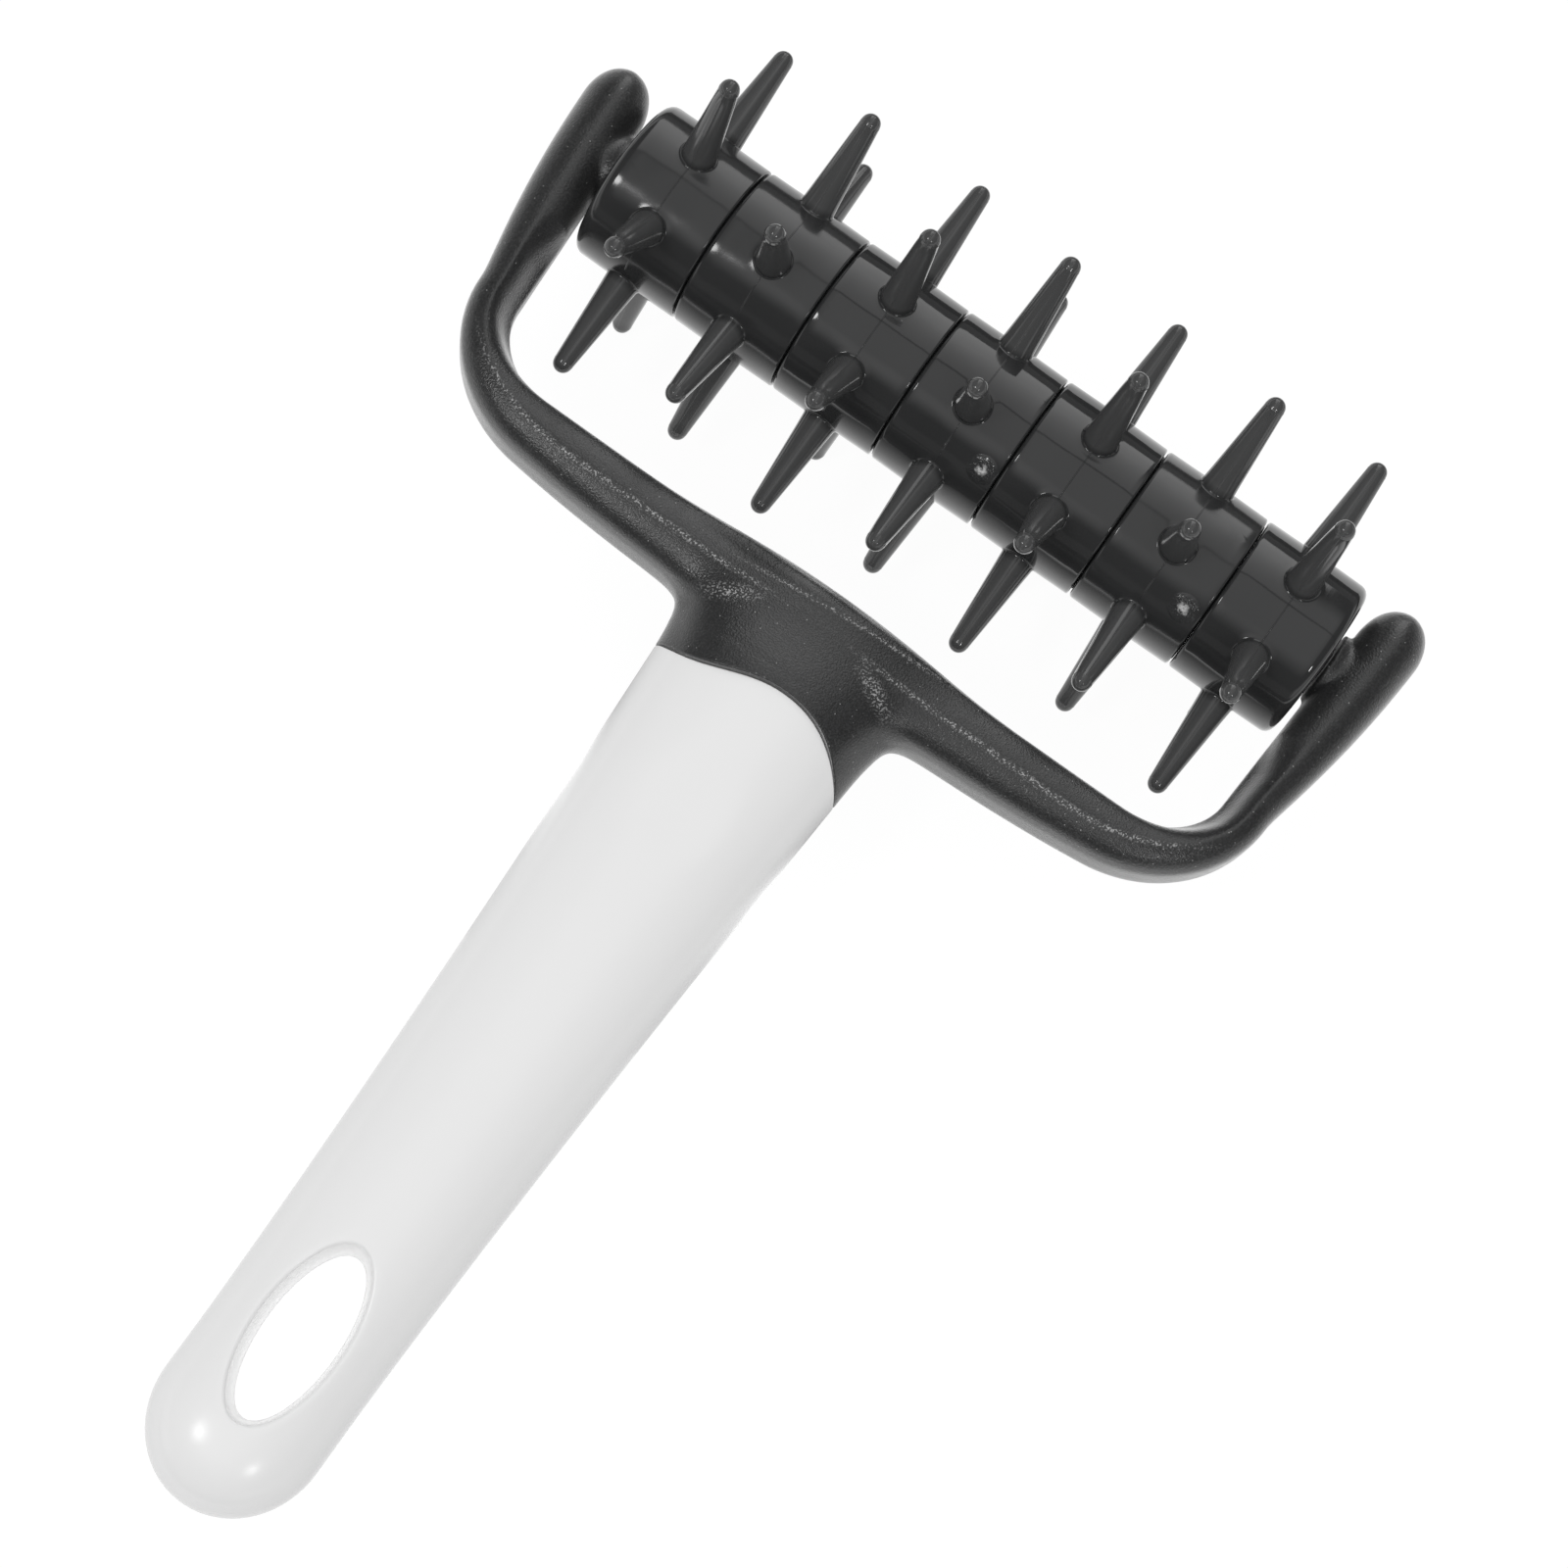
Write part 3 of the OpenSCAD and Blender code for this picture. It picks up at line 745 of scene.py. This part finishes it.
def untangle(field):
    """Crosswise signs on a grid face would give an edge four faces, so its weakest corner changes sign."""
    unit = np.eye(3, dtype=int)
    for a, b in ((0, 1), (0, 2), (1, 2)):
        sign = field < 0

        def cut(p, q):
            view = [slice(None)] * 3
            view[a] = slice(1, None) if p else slice(0, -1)
            view[b] = slice(1, None) if q else slice(0, -1)
            return sign[tuple(view)]

        crosswise = (cut(0, 0) == cut(1, 1)) & (cut(1, 0) == cut(0, 1)) & (cut(0, 0) != cut(1, 0))
        for at in np.argwhere(crosswise):
            four = [tuple(at + p * unit[a] + q * unit[b]) for p in (0, 1) for q in (0, 1)]
            weak = min(four, key=lambda c: abs(field[c]))
            field[weak] = -field[weak]


def cell_points(field, shape):
    """The grid cells that the surface crosses, and a point in each, at the mean of its edges' crossings."""
    inside = field < 0
    corners = [(i, j, k) for i in (0, 1) for j in (0, 1) for k in (0, 1)]

    def part(c):
        return inside[c[0]:c[0] + shape[0], c[1]:c[1] + shape[1], c[2]:c[2] + shape[2]]

    total = sum(part(c).astype(np.int8) for c in corners)
    cells = np.argwhere((total > 0) & (total < 8))
    values = np.stack([field[tuple((cells + c).T)] for c in corners], 1)
    place, hits = np.zeros((len(cells), 3)), np.zeros(len(cells))
    for m, a in enumerate(corners):
        for n, b in enumerate(corners):
            if n > m and sum(abs(p - q) for p, q in zip(a, b)) == 1:
                cross = (values[:, m] < 0) != (values[:, n] < 0)
                gap = np.where(cross, values[:, m] - values[:, n], 1)
                t = np.where(cross, values[:, m] / gap, 0)[:, None]
                place += np.where(cross[:, None], mix(np.array(a, float), np.array(b, float), t), 0)
                hits += cross
    return cells, cells + place / hits[:, None]


def cell_quads(field, shape, cells):
    """A quad between the points of the four cells round each grid edge that the surface crosses."""
    inside = field < 0
    number = np.full(shape, -1)
    number[tuple(cells.T)] = np.arange(len(cells))
    unit = np.eye(3, dtype=int)
    quads = []
    for axis in range(3):
        other = [a for a in range(3) if a != axis]
        low = inside[tuple(slice(None, -1) if a == axis else slice(None) for a in range(3))]
        high = inside[tuple(slice(1, None) if a == axis else slice(None) for a in range(3))]
        edges = np.argwhere(low != high)
        ok = np.all(edges[:, other] > 0, 1) & np.all(edges[:, other] < np.array(shape)[other], 1)
        edges = edges[ok]
        outwards = low[tuple(edges.T)]
        p, q = unit[other[0]], unit[other[1]]
        quad = np.stack([number[tuple((edges - back).T)] for back in (0 * p, p, p + q, q)], 1)
        flip = outwards if axis == 1 else ~outwards
        quad[flip] = quad[flip][:, ::-1]
        quads.append(quad)
    return np.concatenate(quads)


def settle(p, free=(1, 1, 1)):
    """Moves points onto the yoke's surface, along the axes that are free."""
    ways = ((1, 0, 0), (-1, 0, 0), (0, 1, 0), (0, -1, 0), (0, 0, 1), (0, 0, -1))
    offs = [np.array(v) * NUDGE for v in ways]
    tries = [yoke_parts(*(p + o).T) for o in offs]
    sizes = []
    for k in (0, 1):
        slope = np.sqrt(sum((tries[2 * a][k] - tries[2 * a + 1][k]) ** 2 for a in range(3))) / (2 * NUDGE)
        sizes.append(np.maximum(slope, LEAST_SLOPE))
    f = [yoke_join(t[0] / sizes[0], t[1] / sizes[1], *(p + o).T) for t, o in zip(tries, offs)]
    grad = np.stack([(f[2 * a] - f[2 * a + 1]) / (2 * NUDGE) * free[a] for a in range(3)], 1)
    here = yoke_parts(*p.T)
    d = yoke_join(here[0] / sizes[0], here[1] / sizes[1], *p.T)
    move = -d[:, None] * grad / np.maximum((grad ** 2).sum(1), 0.25)[:, None]
    return p + np.clip(move, -LONGEST_MOVE, LONGEST_MOVE)


def relax(points, pairs):
    """Evens out the points' spacing on the surface."""
    degree = np.bincount(pairs.ravel(), minlength=len(points))[:, None]
    points = settle(settle(points))
    for _ in range(4):
        near = np.zeros_like(points)
        for a, b in ((0, 1), (1, 0)):
            np.add.at(near, pairs[:, a], points[pairs[:, b]])
        points = settle(mix(points, near / degree, 0.5))
    return settle(points)


def neck_turn(x, z):
    """The angle of a point round the neck where the grid ends."""
    w, t = neck_half(NECK_CUT)
    return np.arctan2(z / t, x / w) % (2 * np.pi)


def sew_tang(shell, points, pairs):
    """The rest of the neck and the tang, whose first loop is sewn to the surface's open end by angle."""
    keys, counts = np.unique(np.sort(pairs, 1), axis=0, return_counts=True)
    open_ids = np.unique(keys[counts == 1])
    turn = neck_turn(points[open_ids, 0], points[open_ids, 2])
    order = np.argsort(turn)
    first, first_turn = open_ids[order].tolist(), turn[order]

    def fit(x, y, z):
        p = np.stack(np.broadcast_arrays(x, y, z), 1)
        for _ in range(6):
            p = settle(p, (1, 0, 1))
        return p.T

    angles = np.linspace(0, 2 * np.pi, AROUND, endpoint=False)
    loops = seam_loops(angles, neck_half, -1, TANG, 18, 51.0, fit)
    ids = shell.skin(loops)
    shell.fan(ids[-1], (0, -SEAM_AT - TANG[2], 0))
    second = ids[0]
    second_turn = neck_turn(loops[0][:, 0], loops[0][:, 2])
    # a turn past all others, for a loop whose points are used up
    beyond = 9
    i = j = 0
    while i < len(first) or j < len(second):
        ti = first_turn[i] if i < len(first) else beyond
        tj = second_turn[j] if j < len(second) else beyond
        if ti < tj:
            shell.face([first[i - 1], first[i], second[j - 1]])
            i += 1
        else:
            shell.face([first[i - 1], second[j], second[j - 1]])
            j += 1


def make_yoke():
    """The fork, neck and bosses as one surface taken from a grid, and the tang behind them."""
    field, start = yoke_field()
    untangle(field)
    shape = [n - 1 for n in field.shape]
    cells, places = cell_points(field, shape)
    quads = cell_quads(field, shape, cells)
    pairs = np.concatenate([quads[:, [i, (i + 1) % 4]] for i in range(4)])
    points = relax(places * GRID + start, pairs)
    shell = Shell()
    shell.verts = [tuple(p) for p in points.tolist()]
    shell.faces = quads.tolist()
    sew_tang(shell, points, pairs)
    add_piece("yoke_body", shell, "yoke", "frame", "yoke", TOOL)


make_handle()
make_yoke()


# Rings, in millimetres
PITCH = 18.0
RING_W = 17.75
RINGS = 7
PINS = 6
BARREL_R = 13.1
# Each half of the barrel narrows by this share away from the parting line
DRAFT = 0.011
# The pins' reach without their round tip, their radii and the fillet at their root
TIP_REACH = 28.25
TIP_R = 1.55
ROOT_R = 2.7
FILLET = 0.38
# Degrees that the rings are turned: the most play on the square axle, the roller's own roll, and each ring's
# share of the play
PLAY = 0.85 * 2.34864
ROLL = 1.0
RING_PLAY = (-0.9, -0.8, 0.6, 0.6, 0.15, -0.35, 0.75)
# The pocket in each end, the hub, half the web, the rounding where these meet and half the square hole
POCKET_R = 10.7
HUB_R = 7.12
WEB = 2.5
WEB_R = 0.5
HOLE = 3.62
# The rounding of the roller's two outer edges and of the edges between two rings, how far the end rings
# reach outwards, and the lip that closes the gap to the next ring
OUTER_EDGE = 1.6
LEFT_EDGE = 0.6
RIGHT_EDGE = 0.35
OUTER_LIP = 0.4
TONGUE = 0.2
# Steps round a panel, along its half, and from its rim to the pin's fillet
PANEL_TURNS = 16
PANEL_HALF = 8
PANEL_STEPS = 7


class RingMesh(Shell):
    """One moulded ring about the X axis: six panels round their pins, both ends and the hub."""
    rounded = False

    def __init__(self, turn, first, last):
        super().__init__()
        self.left = -RING_W / 2 - (OUTER_LIP if first else 0)
        self.right = RING_W / 2 + (OUTER_LIP if last else 0)
        self.left_r = OUTER_EDGE if first else LEFT_EDGE
        self.right_r = OUTER_EDGE if last else RIGHT_EDGE
        self.tongue = 0 if last else TONGUE
        self.start = -90 - 90 / PINS + turn
        self.turn = turn
        low, high = self.left + self.left_r, self.right - self.right_r
        self.xs = [low * (1 - i / PANEL_HALF) for i in range(PANEL_HALF)] + [0.0]
        self.xs += [high * i / PANEL_HALF for i in range(1, PANEL_HALF + 1)]
        for k in range(PINS):
            self.panel(self.start + 360 / PINS * k)
        self.ends()

    def radius(self, x):
        return BARREL_R - DRAFT * abs(x)

    def height(self, r, a):
        """The barrel's height at a distance and an angle round a pin."""
        return math.sqrt(self.radius(r * math.cos(a)) ** 2 - (r * math.sin(a)) ** 2)

    def panel_rim(self):
        """The panel's rim as places along the roller and angles round it, from its lower left corner."""
        vs = [math.radians(-30 + 60 * j / PANEL_TURNS) for j in range(PANEL_TURNS + 1)]
        rim = [(x, vs[0]) for x in self.xs[:-1]] + [(self.xs[-1], v) for v in vs[:-1]]
        return rim + [(x, vs[-1]) for x in self.xs[:0:-1]] + [(self.xs[0], v) for v in vs[:0:-1]]

    def panel(self, angle):
        """A sixth of the barrel with its pin, in loops of points from the panel's rim to the pin's tip."""
        c, s = math.cos(math.radians(angle)), math.sin(math.radians(angle))

        def put(x, side, up):
            return (x, up * c - side * s, up * s + side * c)

        def on_barrel(x, v):
            r = self.radius(x)
            return put(x, r * math.sin(v), r * math.cos(v))

        def circle(r, z):
            return [put(r * math.cos(a), r * math.sin(a), z) for a in around]

        rim = self.panel_rim()
        # the rim's lower left corner lies at 225 degrees round the pin
        around = [math.radians(225 + 360 * i / len(rim)) for i in range(len(rim))]
        root = ROOT_R + FILLET
        inner = [(root * math.cos(a), math.asin(root * math.sin(a) / BARREL_R)) for a in around]
        loops = []
        for k in range(PANEL_STEPS + 1):
            t = (k / PANEL_STEPS) ** 0.8
            loops.append([on_barrel(mix(o[0], i[0], t), mix(o[1], i[1], t)) for o, i in zip(rim, inner)])
        for k in range(1, 6):
            q = math.radians(90 * k / 5)
            r, f = root - FILLET * math.sin(q), FILLET * (1 - math.cos(q))
            loops.append([put(r * math.cos(a), r * math.sin(a), self.height(r, a) + f) for a in around])
        for k in range(1, 8):
            shaft = []
            for a in around:
                z = mix(self.height(root - FILLET, a) + FILLET, TIP_REACH - 0.2, k / 7)
                r = mix(TIP_R, ROOT_R, (TIP_REACH - z) / (TIP_REACH - BARREL_R))
                shaft.append(put(r * math.cos(a), r * math.sin(a), z))
            loops.append(shaft)
        # a fine step rings the shaft under its round tip
        loops.append(circle(TIP_R + 0.035, TIP_REACH - 0.08))
        loops.append(circle(TIP_R - 0.015, TIP_REACH + 0.04))
        for k in range(1, 9):
            q = math.radians(90 * k / 9)
            loops.append(circle((TIP_R - 0.02) * math.cos(q), TIP_REACH + TIP_R * math.sin(q)))
        ids = self.skin(loops)
        tip = self.vert(put(0, 0, TIP_REACH + TIP_R))
        last = ids[-1]
        for i in range(len(last)):
            self.faces.append([last[i], last[(i + 1) % len(last)], tip])
        # the parting line runs along the rim's middle points, up to the pin
        for i in (PANEL_HALF + PANEL_TURNS + 2 * PANEL_HALF, PANEL_HALF):
            for a, b in zip(ids[:PANEL_STEPS + 1], ids[1:PANEL_STEPS + 1]):
                self.sharp.append((a[i], b[i]))

    def side(self, sign, edge, edge_r, tongue, circle):
        """Loops from the barrel's rim over its edge, tongue, pocket and web to the hub's face."""
        rim = edge - sign * edge_r
        top = self.radius(rim)
        loops = []
        for k in range(6):
            q = math.radians(90 * k / 5)
            loops.append(circle(rim + sign * edge_r * math.sin(q), top - edge_r * (1 - math.cos(q))))
        if tongue:
            lip = edge + sign * tongue
            loops += [circle(edge, POCKET_R + 1.2), circle(lip, POCKET_R + 1.15),
                      circle(lip, POCKET_R + 0.05)]
        pocket = POCKET_R - 0.1
        loops += [circle(edge, POCKET_R), circle(edge - sign * 0.3, POCKET_R - 0.01),
                  circle(sign * (WEB + WEB_R), pocket)]
        for k in range(1, 4):
            q = math.radians(90 * k / 3)
            wall = pocket - WEB_R * (1 - math.cos(q))
            loops.append(circle(sign * (WEB + WEB_R * (1 - math.sin(q))), wall))
        for k in range(0, 4):
            q = math.radians(90 * k / 3)
            wall = HUB_R + WEB_R * (1 - math.sin(q))
            loops.append(circle(sign * (WEB + WEB_R * (1 - math.cos(q))), wall))
        return loops + [circle(edge - sign * 0.3, HUB_R), circle(edge - sign * 0.1, HUB_R - 0.06),
                        circle(edge, HUB_R - 0.3)]

    def ends(self):
        """Both ends of the ring, and the square hole through its hub."""
        count = PINS * PANEL_TURNS
        thetas = [math.radians(self.start - 30 + 60 * j / PANEL_TURNS) for j in range(count)]

        def circle(x, r):
            return [(x, r * math.cos(t), r * math.sin(t)) for t in thetas]

        def square(x):
            local = [t - math.radians(self.turn) for t in thetas]
            rs = [HOLE / max(abs(math.cos(u)), abs(math.sin(u))) for u in local]
            return [(x, r * math.cos(t), r * math.sin(t)) for r, t in zip(rs, thetas)]

        right = self.side(1, self.right, self.right_r, self.tongue, circle) + [square(self.right)]
        left = self.side(-1, self.left, self.left_r, 0, circle) + [square(self.left)]
        self.skin([list(reversed(loop)) for loop in right])
        self.skin(left)
        self.skin([square(self.left), square(mix(self.left, self.right, 0.5)), square(self.right)])


def make_rings():
    base = Matrix.Translation(Vector(joint["pos_m"]))
    for i in range(1, RINGS + 1):
        ring = RingMesh(90 * (i - 1) + ROLL + PLAY * RING_PLAY[i - 1], i == 1, i == RINGS)
        x = (i - (RINGS + 1) / 2) * PITCH
        ring.verts = [(v[0] + x, v[1], v[2]) for v in ring.verts]
        add_piece("ring_%d" % i, ring, "ring", "roller", "roller_wheel_%d" % i, base)


make_rings()


# Camera: the photo's viewpoint, in degrees and metres in the tool's own frame
CAMERA_TURN = (-12.990, -2.2665, -35.2778)
CAMERA_AT = (-0.027567, -0.054323, 0.550826)
CAMERA_LENS = 85.045


def make_camera():
    turn = Euler([math.radians(a) for a in CAMERA_TURN], "XYZ").to_matrix().transposed()
    data = bpy.data.cameras.new("camera")
    data.lens = CAMERA_LENS
    data.sensor_width = 36
    data.clip_start = 0.01
    data.clip_end = 20
    obj = bpy.data.objects.new("camera", data)
    obj.matrix_world = TOOL @ Matrix.Translation(turn @ Vector(CAMERA_AT)) @ turn.to_4x4()
    bpy.context.scene.collection.objects.link(obj)
    bpy.context.scene.camera = obj


make_camera()


# Stage: strengths are shares of white, and places are in metres
WHITE = grey(1)
SEEN = ("Is Camera Ray", "Is Glossy Ray", "Is Transmission Ray")
# The sky for diffuse light, below and overhead, and where it is brightest
SKY = (0.1, 1.21)
SKY_UP = (-0.1, 0.0, 1.0)
# Half the floor's side, and how far it lies below the tool
FLOOR = 3.0
FLOOR_Z = -0.0002
# The dark studio walls, the ceiling's strip, the panel beyond the roller and the gap between these two
WALLS_R = 1.6
WALL = 0.1
CEILING = 0.7
CEILING_EDGE = (0.52, 0.82)
GAP_AT = math.cos(math.radians(76))
PANEL = 1.85
PANEL_LEFT = -0.45
PANEL_RIGHT = 0.08
PANEL_FOOT = 0.19
SPOT_AT = (-0.09, -0.64, 0.76)
SPOT = 0.3
# The white table within the dark ground, from corner to corner
TABLE = (-0.45, -0.17, 0.45, 0.241)
DARK_GROUND = 1.5
# The bright ground round the roller
GROUND = (-0.12, -0.02, 0.12, 0.1)


def shares(n, kinds):
    """1 for rays of the named kinds, else 0."""
    path = n.add("ShaderNodeLightPath")
    total = 0.0
    for kind in kinds:
        total = n.plus(total, path.outputs[kind])
    return n.math("MINIMUM", total, 1.0)


def stage_object(name, mesh):
    obj = bpy.data.objects.new(name, mesh)
    bpy.context.scene.collection.objects.link(obj)
    return obj


def flat_object(name, corners, z, faces=((0, 1, 2, 3),)):
    """A flat object, from one to more rectangles, each given by two of its corners."""
    verts = []
    for x0, y0, x1, y1 in corners:
        verts += [(x0, y0, z), (x1, y0, z), (x1, y1, z), (x0, y1, z)]
    mesh = bpy.data.meshes.new(name)
    mesh.from_pydata(verts, [], faces)
    return stage_object(name, mesh)


def show(obj, n, shader):
    """Puts a shader on a stage object in place of the default one."""
    n.tree.nodes.remove(n.bsdf)
    out = [x for x in n.tree.nodes if x.type == "OUTPUT_MATERIAL"][0]
    n.tree.links.new(shader.outputs[0], out.inputs["Surface"])
    obj.data.materials.append(n.mat)


def emission(n, strength):
    return n.add("ShaderNodeEmission", {"Color": WHITE, "Strength": strength})


def card(obj, n, strength):
    """A studio card shows in reflections alone, and neither lights nor shades the tool."""
    show(obj, n, emission(n, strength))
    obj.visible_camera = False
    obj.visible_diffuse = False
    obj.visible_shadow = False
    obj.visible_transmission = False
    obj.visible_volume_scatter = False


def make_floor():
    """A plain white floor, whose glow through the hanging hole lights the hole's wall."""
    floor = flat_object("floor", [(-FLOOR, -FLOOR, FLOOR, FLOOR)], FLOOR_Z)
    n = Nodes("floor_white")
    matt = n.add("ShaderNodeBsdfDiffuse", {"Color": grey(0.08)})
    seen = n.add("ShaderNodeAddShader", {0: matt.outputs[0], 1: emission(n, 0.95).outputs[0]})
    far = n.distance(n.where, (hole["pos_m"][0], hole["pos_m"][1], 0))
    white = n.add("ShaderNodeBsdfDiffuse", {"Color": grey(0.25)})
    glow = emission(n, n.spread(far, 0.01, 0.026, 1.8, 0.6))
    lit = n.add("ShaderNodeAddShader", {0: white.outputs[0], 1: glow.outputs[0]})
    share = shares(n, SEEN)
    show(floor, n, n.add("ShaderNodeMixShader", {0: share, 1: lit.outputs[0], 2: seen.outputs[0]}))


def make_world():
    """White where it is seen, and for diffuse light a sky, brightest overhead and a little to the left."""
    n = Nodes("studio", world=True)
    bpy.context.scene.world = n.mat
    up = n.add("ShaderNodeVectorMath", {0: n.where, 1: SKY_UP}, operation="DOT_PRODUCT").outputs["Value"]
    sky = n.add("ShaderNodeBackground", {"Color": WHITE, "Strength": n.spread(up, 0, 1, *SKY)})
    white = n.add("ShaderNodeBackground", {"Color": WHITE, "Strength": 1.0})
    share = shares(n, SEEN)
    pick = n.add("ShaderNodeMixShader", {0: share, 1: sky.outputs[0], 2: white.outputs[0]})
    out = n.add("ShaderNodeOutputWorld")
    n.tree.links.new(pick.outputs[0], out.inputs["Surface"])


def make_walls():
    """Dark studio walls with a pale panel beyond the roller, seen by reflections on the plastic."""
    shape = bmesh.new()
    bmesh.ops.create_uvsphere(shape, u_segments=64, v_segments=32, radius=WALLS_R)
    bmesh.ops.delete(shape, geom=[v for v in shape.verts if v.co.z < -0.2], context="VERTS")
    mesh = bpy.data.meshes.new("flags")
    shape.to_mesh(mesh)
    shape.free()
    walls = stage_object("flags", mesh)
    walls.location = (0, joint["pos_m"][1], joint["pos_m"][2])
    n = Nodes("flags")
    x, y, z = (n.math("DIVIDE", a, WALLS_R) for a in n.axes(n.where))
    # dark walls above a pale strip that runs along both sides
    level = n.most(n.times(n.spread(n.size(x), 0.4, 0.6, 0.2, 0.9), n.spread(z, 0.2, 0.3, 1, 0)), WALL)
    # the ceiling, a strip that fades towards the handle and the sides
    ceiling = n.times(n.spread(z, *CEILING_EDGE, 0, CEILING), n.spread(n.size(x), 0.18, 0.42, 1, 0.15))
    level = n.most(level, ceiling)
    # the panel beyond the roller, brightest at its foot
    panel = n.times(n.spread(z, PANEL_FOOT, PANEL_FOOT + 0.01, 0, 1),
                    n.spread(y, GAP_AT, GAP_AT + 0.01, 0, 1))
    fade = n.math("MINIMUM", n.spread(z, 0.0, 1.0, PANEL + 0.12, PANEL - 0.32),
                  n.spread(z, 0.5, 1.0, PANEL - 0.02, CEILING))
    sides = n.times(n.spread(x, PANEL_LEFT, PANEL_LEFT + 0.03, 0, 1),
                    n.spread(x, PANEL_RIGHT, PANEL_RIGHT + 0.015, 1, 0))
    level = n.most(level, n.times(n.times(panel, fade), sides))
    gap = n.size(n.minus(y, GAP_AT))
    level = n.times(level, n.spread(gap, 0.012, 0.03, 0.35, 1))
    spot = n.distance(n.where, tuple(WALLS_R * a for a in SPOT_AT))
    level = n.plus(level, n.spread(spot, 0.02 * WALLS_R, 0.2 * WALLS_R, SPOT, 0))
    card(walls, n, level)


def make_dark_ground():
    """The dark ground round the white table, seen by reflections only."""
    far = DARK_GROUND
    sides = [(i, (i + 1) % 4, 4 + (i + 1) % 4, 4 + i) for i in range(4)]
    ground = flat_object("floor_flag", [(-far, -far, far, far), TABLE], 0.0004, sides)
    card(ground, Nodes("floor_flag"), 0.07)


def make_bright_ground():
    """The bright ground round the roller, shaded under the crossbar, seen by reflections only."""
    ground = flat_object("ground_card", [GROUND], 0.0006)
    n = Nodes("ground_card")
    y = n.axes(n.where)[1]
    behind = n.math("MINIMUM", n.spread(y, -0.005, 0.01, 0.8, 2.0), n.spread(y, 0.012, 0.022, 2.0, 0.35))
    card(ground, n, n.most(behind, n.spread(y, 0.024, 0.055, 0.35, 1.2)))


def make_lamp(name, place, size, power, target=(0, 0.04, 0.02)):
    data = bpy.data.lights.new(name, "AREA")
    data.shape = "DISK"
    data.size = size
    data.energy = power
    lamp = stage_object(name, data)
    lamp.location = place
    lamp.rotation_euler = (Vector(target) - Vector(place)).to_track_quat("-Z", "Y").to_euler()


make_floor()
make_world()
make_walls()
make_dark_ground()
make_bright_ground()
make_lamp("left", (-0.456, -0.62, 1.12), 0.25, 2.0)
make_lamp("right", (0.69, -0.65, 0.98), 0.16, 1.2)
bpy.context.scene.view_settings.view_transform = "Standard"
